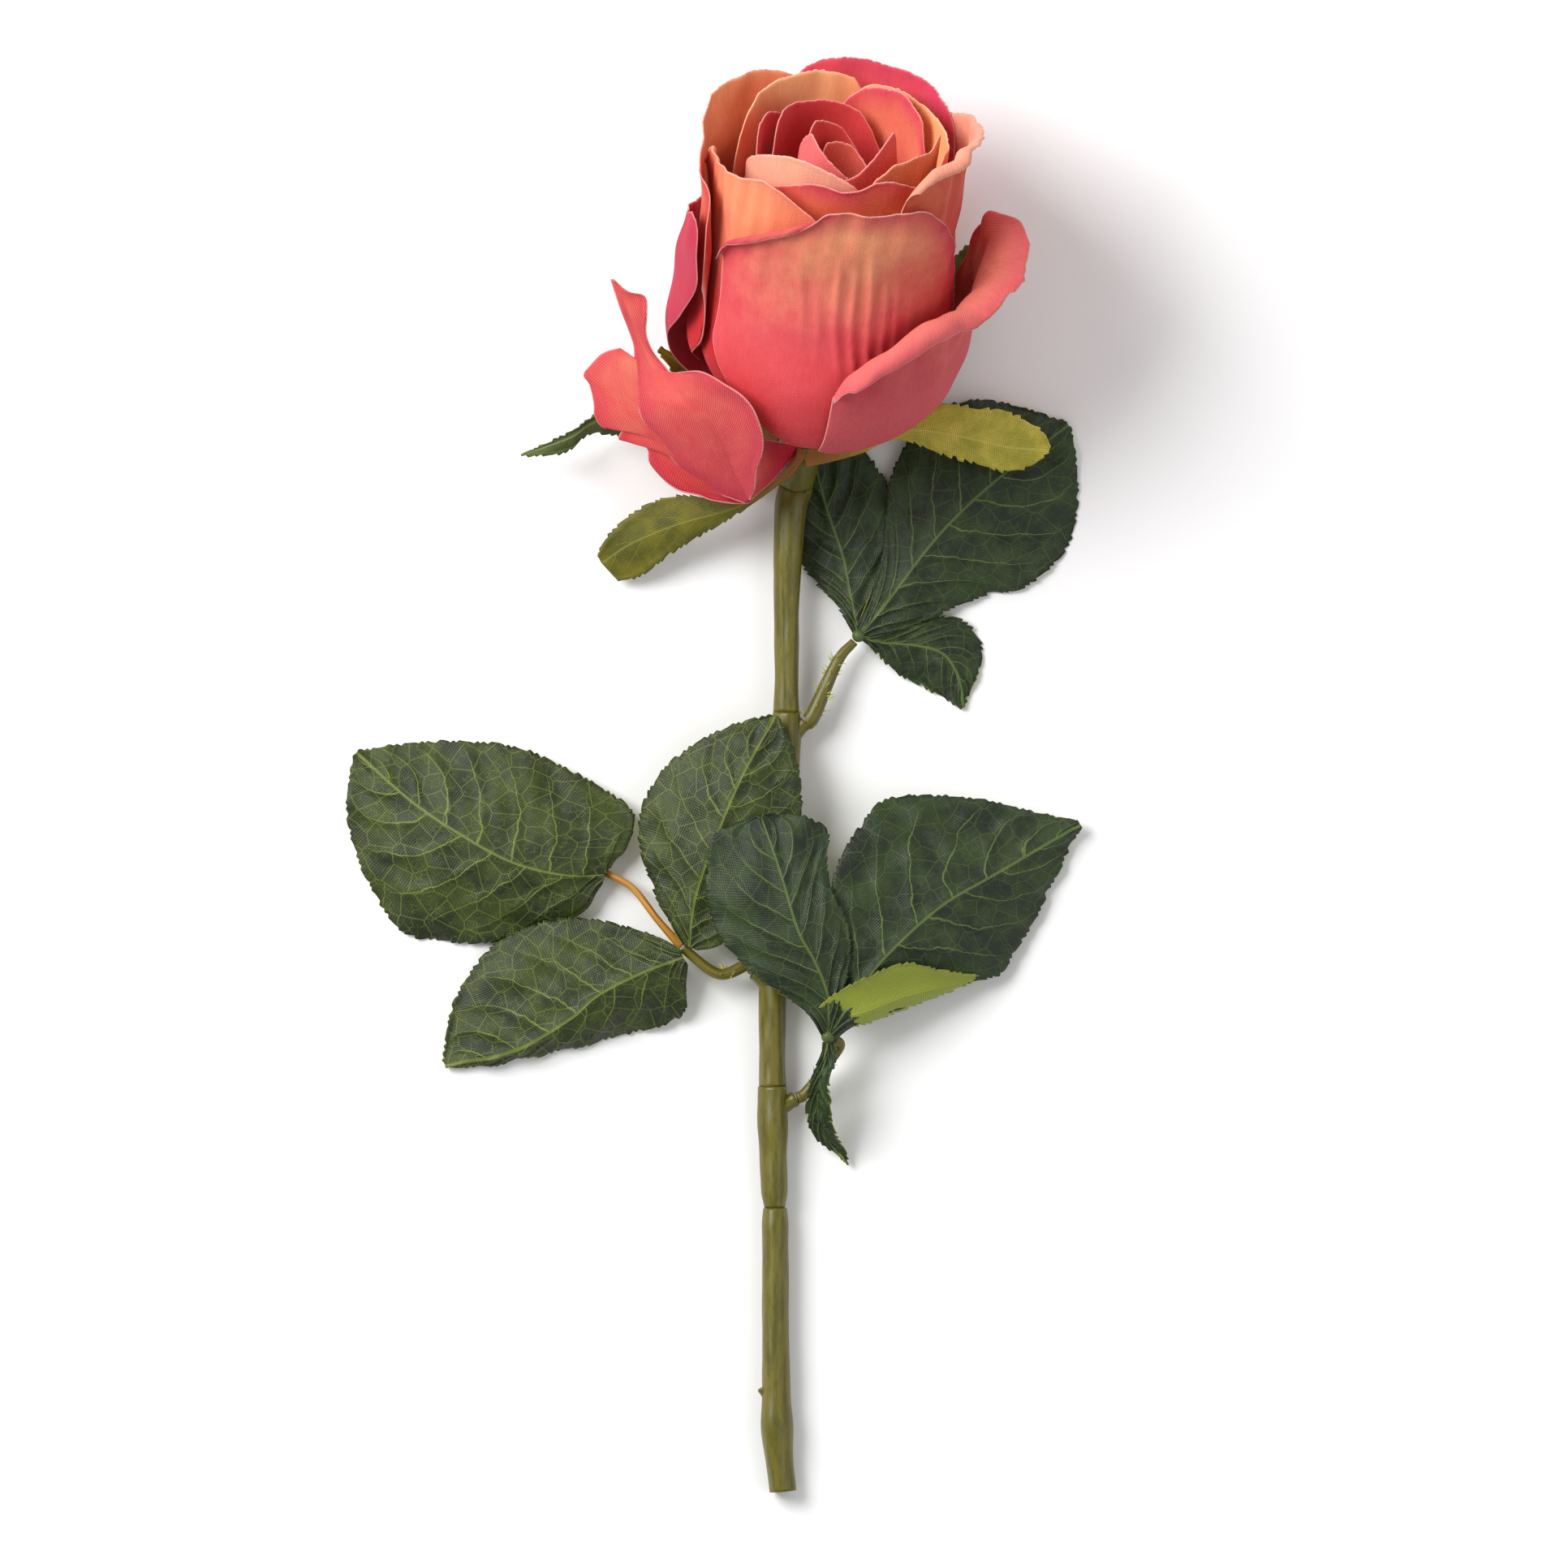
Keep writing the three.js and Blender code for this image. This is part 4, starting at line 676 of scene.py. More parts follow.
def petalGrid(petal, rows=84):
    columns = 100 if petal["layer"] < 4 else 72
    u = np.linspace(0, 1, columns)[None, :]
    v = np.linspace(0, 1, rows)[:, None]
    seed = sum(map(ord, petal["name"]))
    first, last = petal["crest"][0][0], petal["crest"][-1][0]
    belly = bloom["belly"] - petal["layer"] * bloom["layerPitch"]
    footRadius = bloom["coreRadius"] - bloom["coreTaper"] * (petal["foot"] - bloom["coreBase"]) + 0.5
    middle = (first + last) / 2
    widest = mix(first, last, u)
    crest = crestHeights(petal, widest)
    curlAt, curlTurn, curlRadius = np.array(petal["curl"], float).T
    curl = np.radians(np.interp(widest, curlAt, curlTurn))
    rollRadius = np.interp(widest, curlAt, curlRadius)
    rollStart = crest - rollRadius * np.sin(np.minimum(curl, math.pi / 2))
    climb = v * (rollStart - petal["foot"] + rollRadius * curl)
    threads = np.random.default_rng(seed).normal(0, 0.11, columns)
    climb = climb + v**40 * threads  # the cut edge frays
    past = np.maximum(0, climb - (rollStart - petal["foot"]))
    height = np.where(past > 0, rollStart + rollRadius * np.sin(past / rollRadius), petal["foot"] + climb)
    outward = rollRadius * (1 - np.cos(past / rollRadius))
    body = np.minimum(petal["foot"] + climb, rollStart)
    share = (body - petal["foot"]) / (bloom["fullHeight"] - petal["foot"])
    back = ((1 - np.cos(np.radians(widest))) / 2) ** 3
    fullness = mix(petal.get("fullness", bloom["frontFullness"]), bloom["backFullness"], back)
    rise = 1 - (1 - np.minimum(1, share / bloom["bellyShare"])) ** fullness
    radius = mix(footRadius, belly, rise)
    halfWidth = belly * math.radians(last - first) / 2
    width = mix(bloom["tabHalfWidth"], halfWidth, smoothStep(share / petal.get("waist", 0.6)))
    azimuth = middle + (widest - middle) * np.minimum(1, width / halfWidth * belly / radius)
    flareFrom = petal.get("flareFrom", 0.72)
    upShare = (body - petal["foot"]) / (rollStart - petal["foot"])
    flared = np.maximum(0, (upShare - flareFrom) / (1 - flareFrom)) ** 2
    radius = radius + threeWay(petal["flare"], u) * flared
    across = (azimuth - middle) * math.pi / 180 * radius
    inside = smoothStep(petal["layer"] / -4 + 2)  # the tight inner petals wave less
    radius = radius + mix(0.12, 0.34, inside) * ripple(across / 19, climb / 19,
                                                       seed) * smoothStep(share * 2)
    lip = smoothStep((upShare - 0.6) / 0.4)
    radius = radius + mix(0.14, 0.34, inside) * ripple(across / 8, climb / 30, seed + 1, 5) * lip
    for at, spread, depth, low, high in petal.get("pleats", []):
        centre = at - 0.2 * (height - 64) + 0.9 * np.sin(height / 6 + at)
        band = smoothStep((height - low) / 14) * smoothStep((high - height) / 12)
        radius = radius + depth * band * (np.exp(-((azimuth - centre) / spread) ** 2) - 0.3)
    if petal.get("tuck"):
        at, spread, depth = petal["tuck"]
        radius = radius - depth * np.exp(-((azimuth - at) / spread) ** 2) * smoothStep(share * 2)
    radius = radius + outward
    turn = np.radians(azimuth)
    points = (hip + height[..., None] * axisWay + (radius * np.sin(turn))[..., None] * rightWay
              + (radius * np.cos(turn))[..., None] * frontWay)
    topGap = (1 - v) * (rollStart - petal["foot"] + rollRadius * curl)
    sideGap = np.minimum(u, 1 - u) * 2 * np.minimum(width, halfWidth)
    edge = np.minimum(topGap, sideGap)
    blush = smoothStep((upShare - 0.5) / 0.42)
    sunk = petal.get("lowDeep", 0.35) * smoothStep((petal.get("deepFrom", 0.6) - upShare) / 0.5)
    masks = {
        "across": across + 0 * climb, "along": climb + 0 * across, "edge": edge,
        "warm": threeWay(petal["warm"], u) * blush * (1 - 0.5 * np.abs(2 * u - 1)),
        "deep": np.clip(threeWay(petal["deep"], u) + sunk, 0, 1),
        "rim": petal["rim"] * smoothStep(1 - topGap / 9),
    }
    return points, {key: np.broadcast_to(value, climb.shape) for key, value in masks.items()}


def makePetals():
    for petal in petals:
        grid, masks = petalGrid(petal)
        # the grid runs left to right seen from outside, so its normals face out
        material = petalMaterial(petal["name"], petal["dye"])
        piece = meshObject(petal["name"] + "_cloth", [clothShell(grid, bloom["thickness"], masks)],
                           material)
        setIn(piece, petal["name"])
        declareCloth([grid])


makePetals()
print("petals made:", len(petals))


def layOut(blade, stations):
    heading = math.radians(blade.get("heading", 0))
    forward = np.array([math.cos(heading), math.sin(heading)])
    leftward = np.array([-math.sin(heading), math.cos(heading)])
    s = np.array(stations, float)
    flat = blade.get("length", 1) * (s[:, :1] * forward + s[:, 1:2] * leftward)
    flat = np.array(blade.get("root", (0, 0))) + flat
    ground = hip if blade.get("fromHip") else table
    return np.column_stack([flat, s[:, 2]]) + ground


def bladeGrid(blade, columns=48, rows=180):
    lines = [spline(layOut(blade, blade[key])) for key in ("rib", "left", "right")]
    shares = np.linspace(0.012, 0.988, rows)
    rib, left, right = [alongLine(line, shares) for line in lines]
    side = np.linspace(-1, 1, columns)[None, :]
    reach = np.abs(side)
    margin = np.where(side[..., None] > 0, left[:, None], right[:, None])
    span = np.linalg.norm((margin - rib[:, None])[..., :2], axis=-1)
    tooth = 0
    if blade.get("teeth"):
        pitch, depth = blade["teeth"]
        for sign, line in ((1, left), (-1, right)):
            run = np.concatenate([[0], np.cumsum(np.linalg.norm(np.diff(line, axis=0), axis=1))])
            phase = run / pitch + 0.35 * np.sin(run * 0.9 + sign)
            saw = (phase % 1) ** 0.8 - 0.5
            fade = smoothStep((shares - blade.get("bare", 0.06)) / 0.1)
            tooth = tooth + np.where(side * sign > 0, (depth * saw * fade)[:, None], 0)
        tooth = tooth * reach**8 / np.maximum(span, 0.5)
    scaled = reach * (1 + tooth)
    points = rib[:, None] + (margin - rib[:, None]) * scaled[..., None]
    points[..., 2] = rib[:, None, 2] + (margin - rib[:, None])[..., 2] * reach ** blade.get("arch", 1.5)
    across = side * span
    length = lineLength(lines[0])
    along = shares[:, None] * length + 0 * across
    if blade.get("count"):
        phase = (shares[:, None] - blade["sweep"] * reach**1.25) * blade["count"] + 0.2 * np.sign(side)
        off = np.abs(phase % 1 - 0.5) * length / blade["count"]
        fade = smoothStep(reach * 8) * smoothStep((1 - reach) * 3) * smoothStep((1 - shares[:, None]) * 6)
        relief = -blade["quilt"] * np.exp(-((off / 1.3) ** 2)) * fade
        relief = relief - blade["quilt"] * 1.2 * np.exp(-((across / 1.2) ** 2))
        relief = relief + 0.35 * ripple(across / 11, along / 11, int(length * 10)) * smoothStep(reach * 3)
        points = points + gridNormals(points) * relief[..., None]
    flutter = blade.get("flutter", 0.35)
    points[..., 2] += flutter * ripple(along / 17, np.sign(side) * reach**4, int(length)) * reach**3
    masks = {"across": across, "along": along, "side": side + 0 * across,
             "share": shares[:, None] + 0 * across, "edge": (1 - reach) * span + 0 * along}
    return points, masks


leafDyes = {
    "leafGreen": {"face": colour(58, 70, 20), "dark": colour(30, 40, 12), "vein": colour(126, 140, 56),
                  "under": colour(150, 156, 54), "net": 0.46},
    "leafBlue": {"face": colour(44, 62, 26), "dark": colour(20, 32, 16), "vein": colour(104, 124, 58),
                 "under": colour(142, 152, 50), "net": 0.26},
    "sepalOlive": {"face": colour(112, 106, 14), "dark": colour(80, 80, 12), "vein": colour(130, 128, 36),
                   "under": colour(112, 112, 30), "net": 0.1, "tint": 0.9},
    "sepalLime": {"face": colour(204, 190, 72), "dark": colour(166, 160, 48),
                  "vein": colour(212, 200, 94),
                  "under": colour(150, 152, 60), "net": 0.1, "tint": 0.85},
    "sepalGrey": {"face": colour(84, 98, 40), "dark": colour(58, 70, 26), "vein": colour(120, 128, 70),
                  "under": colour(110, 118, 50), "net": 0.1},
}


# Printed leaf cloth: mottled green, pale veins and their net, the bare underside and a tinted base.
def makeLeafPrint():
    masks = dict.fromkeys(["side", "share", "across", "along", "inner"], 0.0)
    numbers = {**masks, "net": 0.4, "tint": 0.0}
    group, wire, given, result = newGroup(
        "leafPrint", numbers, ["face", "dark", "vein", "under", "base"],
                                          ["colour", "roughness", "height"])
    across, along = given["across"], given["along"]
    mottle = wire.noise(wire.vector(across, along), 0.1, 4, 0.65)
    specks = wire.ramp(wire.noise(wire.vector(across, along), 1.1, 3, 0.7), 0.56, 0.74)
    marks = useGroup(wire, veins, {key: given[key] for key in ("side", "share", "across", "along")})
    weave = useGroup(wire, canvas, {"across": across, "along": along})
    base = wire.blend(wire.ramp(mottle, 0.35, 0.65), given["dark"], given["face"])
    speckled = wire.math("MULTIPLY", specks, wire.math("MULTIPLY", given["net"], 0.5))
    base = wire.blend(speckled, base, given["vein"])
    base = wire.blend(wire.math("MULTIPLY", marks["net"], given["net"]), base, given["vein"])
    base = wire.blend(wire.math("MULTIPLY", marks["main"], 0.62), base, given["vein"])
    foot = wire.math("MULTIPLY", wire.ramp(given["share"], 0.1, 0.36, 1.0, 0.0), given["tint"])
    base = wire.blend(foot, base, given["base"])
    base = wire.blend(given["inner"], base, given["under"])
    shade = wire.math("ADD", wire.math("MULTIPLY", weave["height"], 0.5), 0.78)
    wire.feed(result["colour"], wire.blend(1.0, base, wire.grey(shade), "MULTIPLY"))
    wire.feed(result["roughness"], wire.math("ADD", wire.math("MULTIPLY", mottle, 0.2), 0.4))
    raised = wire.math("MULTIPLY", weave["height"], 0.5)
    wire.feed(result["height"], wire.math("SUBTRACT", raised, wire.math("MULTIPLY", marks["main"], 0.5)))
    return group


leafPrint = makeLeafPrint()


def leafMaterial(name):
    material, wire, shader = newMaterial(name)
    values = {key: wire.attribute(key) for key in ("side", "share", "across", "along", "inner")}
    cloth = useGroup(wire, leafPrint, {**values, "base": colour(156, 92, 36), **leafDyes[name]})
    wire.feed(shader.inputs["Base Color"], cloth["colour"])
    wire.feed(shader.inputs["Roughness"], cloth["roughness"])
    wire.feed(shader.inputs["Normal"], bump(wire, cloth["height"], 0.6, 0.2))
    shader.inputs["Specular IOR Level"].default_value = 0.4
    return material


leafTeeth = (2.7, 0.9)
leafLook = {"teeth": leafTeeth, "count": 8, "sweep": 0.26, "quilt": 0.45}
leafThickness = 0.3
leaves = {
    "leaf_left_end": {"dye": "leafGreen", "blades": [{
        "root": (-47.4, -101.8), "length": 69.4, "heading": 154,
        "rib": [(0, 0, 5), (0.14, 0.07, 8), (0.33, 0.11, 9), (0.55, 0.1, 8), (0.75, 0.07, 5),
                (1, 0, 1.5)],
        "left": [(0, 0.02, 5), (0.03, 0.18, 4), (0.24, 0.38, 2), (0.4, 0.46, 1), (0.57, 0.5, 0.8),
                 (0.76, 0.39, 1), (0.92, 0.22, 1.2), (1, 0, 1.5)],
        "right": [(0, -0.02, 5), (-0.02, -0.12, 6), (0.02, -0.24, 5), (0.22, -0.27, 4), (0.45, -0.27, 3),
                  (0.62, -0.22, 2), (0.8, -0.13, 1.6), (1, 0, 1.5)]}]},
    "leaf_left_low": {"dye": "leafGreen", "blades": [{
        "root": (-28, -122), "length": 65.8, "heading": -156,
        "rib": [(0, 0, 9.4), (0.18, -0.01, 10), (0.36, 0, 9), (0.5, 0.04, 7.4), (0.74, 0.06, 5),
                (1, 0, 1.5)],
        "left": [(0, 0.02, 9.4), (0.04, 0.09, 8), (0.1, 0.19, 3), (0.26, 0.19, 1.4), (0.52, 0.14, 1.2),
                 (0.85, 0.07, 1.2), (1, 0, 1.5)],
        "right": [(0, -0.02, 9.4), (0.06, -0.1, 8.6), (0.16, -0.19, 7.6), (0.34, -0.31, 6),
                  (0.53, -0.34, 4.6), (0.67, -0.32, 3.4), (0.86, -0.2, 2), (1, 0, 1.5)]}]},
    "leaf_left_high": {"dye": "leafGreen", "blades": [{
        "root": (-27.2, -120.4), "length": 62.1, "heading": 69,
        "rib": [(0, 0, 10), (0.2, 0.05, 13), (0.44, 0.06, 15), (0.72, 0.05, 15), (1, 0.01, 13)],
        "left": [(0, 0.02, 10), (0.07, 0.11, 10), (0.22, 0.26, 9), (0.38, 0.36, 8.4), (0.55, 0.37, 8.6),
                 (0.73, 0.3, 10), (0.9, 0.15, 12), (1, 0.01, 13)],
        "right": [(0, -0.02, 10), (0.08, -0.12, 11.4), (0.31, -0.23, 13), (0.53, -0.27, 13),
                  (0.7, -0.21, 13), (0.88, -0.11, 13), (1, 0.01, 13)]}]},
    "leaf_right": {"dye": "leafBlue", "hub": (7, -141.8, 14), "blades": [
        {"root": (7, -141.8), "length": 57, "heading": 107,
         "rib": [(0, 0, 14), (0.17, -0.05, 17), (0.33, -0.04, 19.4), (0.48, -0.01, 20.4),
                 (0.75, -0.01, 20), (1, 0, 18)],
         "left": [(0, 0.02, 14), (0.13, 0.06, 16), (0.33, 0.21, 17.6), (0.49, 0.3, 17.6),
                  (0.67, 0.33, 17.4), (0.84, 0.29, 17.2), (0.98, 0.2, 17.2), (1, 0, 18)],
         "right": [(0, -0.03, 14), (0.17, -0.13, 16.8), (0.4, -0.22, 18.4), (0.62, -0.2, 18.2),
                   (0.74, -0.22, 18), (0.85, -0.26, 17.8), (0.95, -0.16, 17.8), (1, 0, 18)]},
        {"root": (7, -141.8), "length": 82, "heading": 40,
         "rib": [(0, 0, 14), (0.21, 0.06, 16), (0.37, 0.08, 15.6), (0.53, 0.08, 13.6), (0.7, 0.05, 10),
                 (1, 0, 3)],
         "left": [(0, 0.02, 14), (0.11, 0.15, 17.4), (0.23, 0.28, 18), (0.36, 0.38, 16.4),
                  (0.48, 0.42, 14), (0.6, 0.43, 11), (0.78, 0.28, 7), (1, 0, 3)],
         "right": [(0, -0.02, 14), (0.1, -0.03, 13.2), (0.24, -0.08, 10), (0.41, -0.14, 6.4),
                   (0.52, -0.19, 4), (0.58, -0.17, 3.4), (0.7, -0.13, 2.4), (0.86, -0.06, 2), (1, 0, 3)]},
        {"root": (7, -142.6), "length": 31.3, "heading": -80,
         "rib": [(0, 0, 13.8), (0.17, -0.05, 12.6), (0.4, -0.14, 9), (0.7, -0.16, 5), (1, 0, 1.6)],
         "left": [(0, 0.04, 13.8), (0.12, 0.04, 14.6), (0.35, -0.05, 15), (0.6, -0.09, 12.6),
                  (0.8, -0.05, 7), (1, 0, 1.6)],
         "right": [(0, -0.04, 13.8), (0.12, -0.08, 12.4), (0.3, -0.18, 9.4), (0.5, -0.26, 7),
                   (0.75, -0.22, 3.4), (1, 0, 1.6)]},
        {"under": True, "teeth": (2.7, 0.7), "count": 0,
         "rib": [(8, -137, 14), (16, -135.4, 15.6), (26.2, -131.6, 13), (36, -129.2, 9.6),
                 (45, -127, 5.4)],
         "left": [(3.4, -136, 16), (7.4, -132.2, 18), (16, -127.4, 19), (26, -123.8, 16.8),
                  (34.6, -125.4, 13), (44.8, -126.8, 6)],
         "right": [(8, -138, 13.2), (15.2, -138.9, 12.5), (26.4, -134.8, 9.4), (36, -131.2, 7),
                   (45, -127.4, 4.8)]},
    ]},
    "leaf_upper": {"dye": "leafBlue", "hub": (14.6, -43, 5), "blades": [
        {"root": (14.6, -43), "length": 45.9, "heading": 104,
         "rib": [(0, 0, 5), (0.24, -0.01, 4), (0.44, -0.02, 3), (0.71, 0, 2), (1, 0, 1.4)],
         "left": [(0, 0.02, 5), (0.2, 0.08, 3.4), (0.34, 0.16, 2.2), (0.47, 0.21, 1.6), (0.65, 0.22, 1.4),
                  (0.83, 0.17, 1.2), (1, 0, 1.4)],
         "right": [(0, -0.04, 5), (0.1, -0.12, 5), (0.2, -0.22, 4.4), (0.44, -0.31, 3.4),
                   (0.69, -0.35, 2.4), (0.83, -0.32, 1.8), (0.98, -0.24, 1.4), (1, 0, 1.4)]},
        {"root": (14.6, -43), "length": 74.1, "heading": 45,
         "rib": [(0, 0, 5), (0.13, 0.01, 5.6), (0.34, 0.04, 6.4), (0.5, 0.05, 6), (0.7, 0.04, 4.4),
                 (1, 0, 1.8)],
         "left": [(0, 0.02, 5), (0.1, 0.06, 5), (0.24, 0.13, 4.4), (0.41, 0.27, 3.6), (0.53, 0.33, 3),
                  (0.64, 0.35, 2.6), (0.76, 0.33, 2.2), (0.88, 0.22, 2), (1, 0, 1.8)],
         "right": [(0, -0.02, 5), (0.15, -0.1, 4), (0.27, -0.15, 2.6), (0.39, -0.2, 1.6),
                   (0.49, -0.27, 1), (0.6, -0.29, 0.8), (0.73, -0.27, 0.8), (0.86, -0.17, 1),
                   (1, 0, 1.8)]},
        {"root": (14.6, -43), "length": 31.6, "heading": -35,
         "rib": [(0, 0, 5), (0.17, 0.06, 4.2), (0.44, 0.21, 3.4), (0.63, 0.26, 2.8), (0.82, 0.18, 2),
                 (1, 0, 1)],
         "left": [(0, 0.03, 5), (0.14, 0.17, 4.2), (0.28, 0.31, 3.4), (0.4, 0.46, 2.6), (0.55, 0.55, 2),
                  (0.72, 0.55, 1.4), (0.88, 0.42, 1), (1, 0, 1)],
         "right": [(0, -0.01, 5), (0.14, -0.02, 4), (0.28, -0.05, 2.6), (0.44, -0.06, 1.4),
                   (0.69, -0.03, 0.8), (1, 0, 1)]},
    ]},
}

sepals = {
    "sepal_left": {"dye": "sepalOlive", "root": (-1, -0.8), "length": 54.3, "heading": -153,
                   "rib": [(-0.081, -0.07, 6.6), (0, 0, 7.4), (0.18, 0.05, 7), (0.35, 0.05, 5),
                           (0.59, 0, 1), (0.82, -0.02, -3), (1, 0, -7)],
                   "left": [(-0.089, -0.037, 6.4), (0, 0.02, 7), (0.12, 0.05, 6.6), (0.33, 0.08, 4),
                            (0.5, 0.09, 1), (0.66, 0.1, -2), (0.86, 0.13, -6), (0.97, 0.1, -8)],
                   "right": [(-0.072, -0.1, 6.6), (0, -0.02, 7.6), (0.14, 0.02, 7.6), (0.3, 0.02, 6),
                             (0.42, -0.04, 4), (0.55, -0.12, 2), (0.72, -0.14, -1), (0.9, -0.1, -4),
                             (1, -0.03, -6)]},
    "sepal_right": {"dye": "sepalLime", "root": (1.4, -0.4), "length": 60.8, "heading": 1,
                    "rib": [(-0.02, 0.04, 6.4), (0.2, 0.06, 6.4), (0.4, 0.12, 6), (0.6, 0.1, 5),
                            (0.82, 0.05, 2), (1, 0.03, -1)],
                    "left": [(-0.02, 0.08, 6), (0.17, 0.1, 6), (0.38, 0.16, 6), (0.53, 0.225, 4.6),
                             (0.66, 0.215, 3.4), (0.82, 0.19, 1), (0.95, 0.12, -0.6), (1, 0.03, -1)],
                    "right": [(-0.01, -0.02, 6.4), (0.1, 0, 6), (0.23, 0.035, 5.4), (0.38, 0.09, 5),
                              (0.54, 0.03, 4), (0.71, -0.02, 2.4), (0.85, -0.05, 0), (1, 0.03, -1)],
                    "teeth": (4.4, 1.1)},
    "sepal_far_left": {"dye": "sepalGrey", "root": (-6.6, -1), "length": 62.8, "heading": 178,
                       "rib": [(0, 0, -2), (0.2, -0.04, -4.4), (0.45, -0.12, -3), (0.68, -0.15, 2),
                               (0.8, -0.08, 3), (1, 0, -2)],
                       "left": [(0, 0.03, -2.2), (0.2, 0.02, -5), (0.45, -0.06, -4.4), (0.7, -0.1, 0.6),
                                (0.82, -0.02, 1.6), (1, 0, -2)],
                       "right": [(0, -0.04, -1.8), (0.2, -0.1, -4.6), (0.45, -0.19, -2.4),
                                 (0.66, -0.19, 2), (0.8, -0.1, 3.4), (1, 0, -2)]},
    "sepal_under_right": {"dye": "sepalGrey", "root": (6.2, 1.4), "length": 73.8, "heading": 53,
                          "rib": [(0, 0, -2), (0.2, -0.02, -5), (0.5, -0.03, -6.4), (0.8, -0.02, -0.8),
                                  (1, 0, 7)],
                          "left": [(0, 0.02, -2), (0.2, 0.06, -6.4), (0.5, 0.08, -8), (0.8, 0.05, -1.6),
                                   (1, 0.01, 7)],
                          "right": [(0, -0.03, -2), (0.2, -0.1, -4), (0.5, -0.12, -5.4), (0.8, -0.08, 0),
                                    (1, -0.01, 7)]},
    "sepal_under_left": {"dye": "sepalOlive", "root": (-4.6, 5), "length": 38, "heading": 143,
                         "rib": [(0, 0, -4), (0.25, 0.02, -7), (0.6, 0.02, -4), (0.85, 0, 2), (1, 0, 5)],
                         "left": [(0, 0.04, -4), (0.25, 0.12, -6.6), (0.6, 0.15, -2), (0.85, 0.06, 3),
                                  (1, 0.01, 5)],
                         "right": [(0, -0.03, -4), (0.25, -0.08, -8.4), (0.6, -0.1, -6), (0.85, -0.05, 1),
                                   (1, -0.01, 5)]},
}

reflexed = [
    {"fromHip": True, "arch": 1.3,
     "rib": [(-6.8, -1.4, 0), (-12, -8.6, 13), (-20.2, -6.8, 17.4), (-28, -1.6, 20.6), (-34.4, 6.4, 24.4),
             (-38.6, 14, 27), (-40.2, 25.6, 29.6)],
     "left": [(-6.6, -1.8, 0), (-9.4, -5, 6), (-12.6, -10.4, 13), (-20.8, -9.9, 15.4),
              (-24.9, -8.5, 16.2), (-29.7, -7.3, 17), (-33.7, -4.5, 17.8), (-36.9, -0.5, 18.4),
              (-37.3, 2.7, 19.4), (-39.7, 5.2, 18.8), (-44.4, 5.2, 17.2), (-43.7, 8.1, 19),
              (-48.2, 8.1, 16.8), (-50.4, 11, 17.2), (-50.6, 14, 18.4), (-51.6, 18.6, 18.8),
              (-53.1, 21.1, 18.4), (-51.4, 23.4, 20.6), (-48.2, 26.4, 23.6), (-43, 27.8, 27)],
     "right": [(-7, 0, 0), (-14, 0, 9.6), (-22, 6, 15.6), (-28, 12, 20), (-34, 20, 25), (-38, 25, 28.6)]},
    {"fromHip": True, "arch": 1.2,
     "rib": [(-12.2, -10.3, 16.4), (-16, -3, 24), (-19, 4.4, 31.6), (-24, 11, 36.6), (-30, 15.6, 35.6),
             (-35.4, 21.4, 31.6), (-39, 29, 31.4), (-42.4, 37.4, 32.8), (-46.6, 45.2, 34)],
     "left": [(-12.6, -10.8, 15.2), (-20.7, -7.8, 16.2), (-28.6, -2.6, 19.2), (-35, 5.4, 23),
              (-39, 11, 25.4), (-40.4, 20, 27.4), (-40.6, 27.4, 28.6), (-41.4, 30.4, 29.6),
              (-42.8, 34, 31), (-44.6, 39, 32.6), (-46.6, 45.2, 34)],
     "right": [(-12.4, -10.2, 17), (-11, -6.9, 24), (-10.4, -2.1, 32), (-9, 2, 39.4), (-9, 6, 44.4),
               (-10.2, 10, 47.4), (-11.8, 13.2, 48.8), (-14.4, 16, 49.6), (-18.4, 18.6, 49),
               (-21.6, 20.6, 47), (-24.9, 21.8, 44), (-29.3, 21.5, 37.6), (-31.4, 20.9, 33.6),
               (-32.9, 22.8, 32.4), (-35.9, 26.4, 31.8), (-37.7, 30.9, 32), (-37.5, 36, 32.8),
               (-37.9, 40.2, 33), (-42.2, 41.4, 33.8), (-46.6, 45.2, 34)]},
    {"fromHip": True, "arch": 1.0, "claw": True,
     "rib": [(1, 3.4, 5.6), (-4, 1.4, 8.6), (-8.4, -2, 17), (-12, -6, 22)],
     "left": [(1, 3, 5.4), (-3, -0.8, 6.8), (-7, -5.2, 10), (-12.2, -9.8, 15.6)],
     "right": [(1.4, 3.8, 5.8), (-4.6, 4.6, 11.6), (-9, 5, 26), (-9.8, 2, 36)]},
]


# Turns the grid so that its outer side faces up, or down for a folded flap.
def upFacing(grid, masks, under=False):
    if (gridNormals(grid)[..., 2].mean() < 0) != under:
        return grid[:, ::-1], {key: value[:, ::-1] for key, value in masks.items()}
    return grid, masks


# The moulded boss where a spray's lobes meet, just within its CAD ball.
def hubShell(centre, radius=1.66):
    climb = np.linspace(0.08, math.pi - 0.08, 14)
    centres = centre - np.outer(np.cos(climb) * radius, (0, 0, 1))
    verts, faces, _ = tubeShell(centres, radius * np.sin(climb), 20)
    return verts, faces, {}


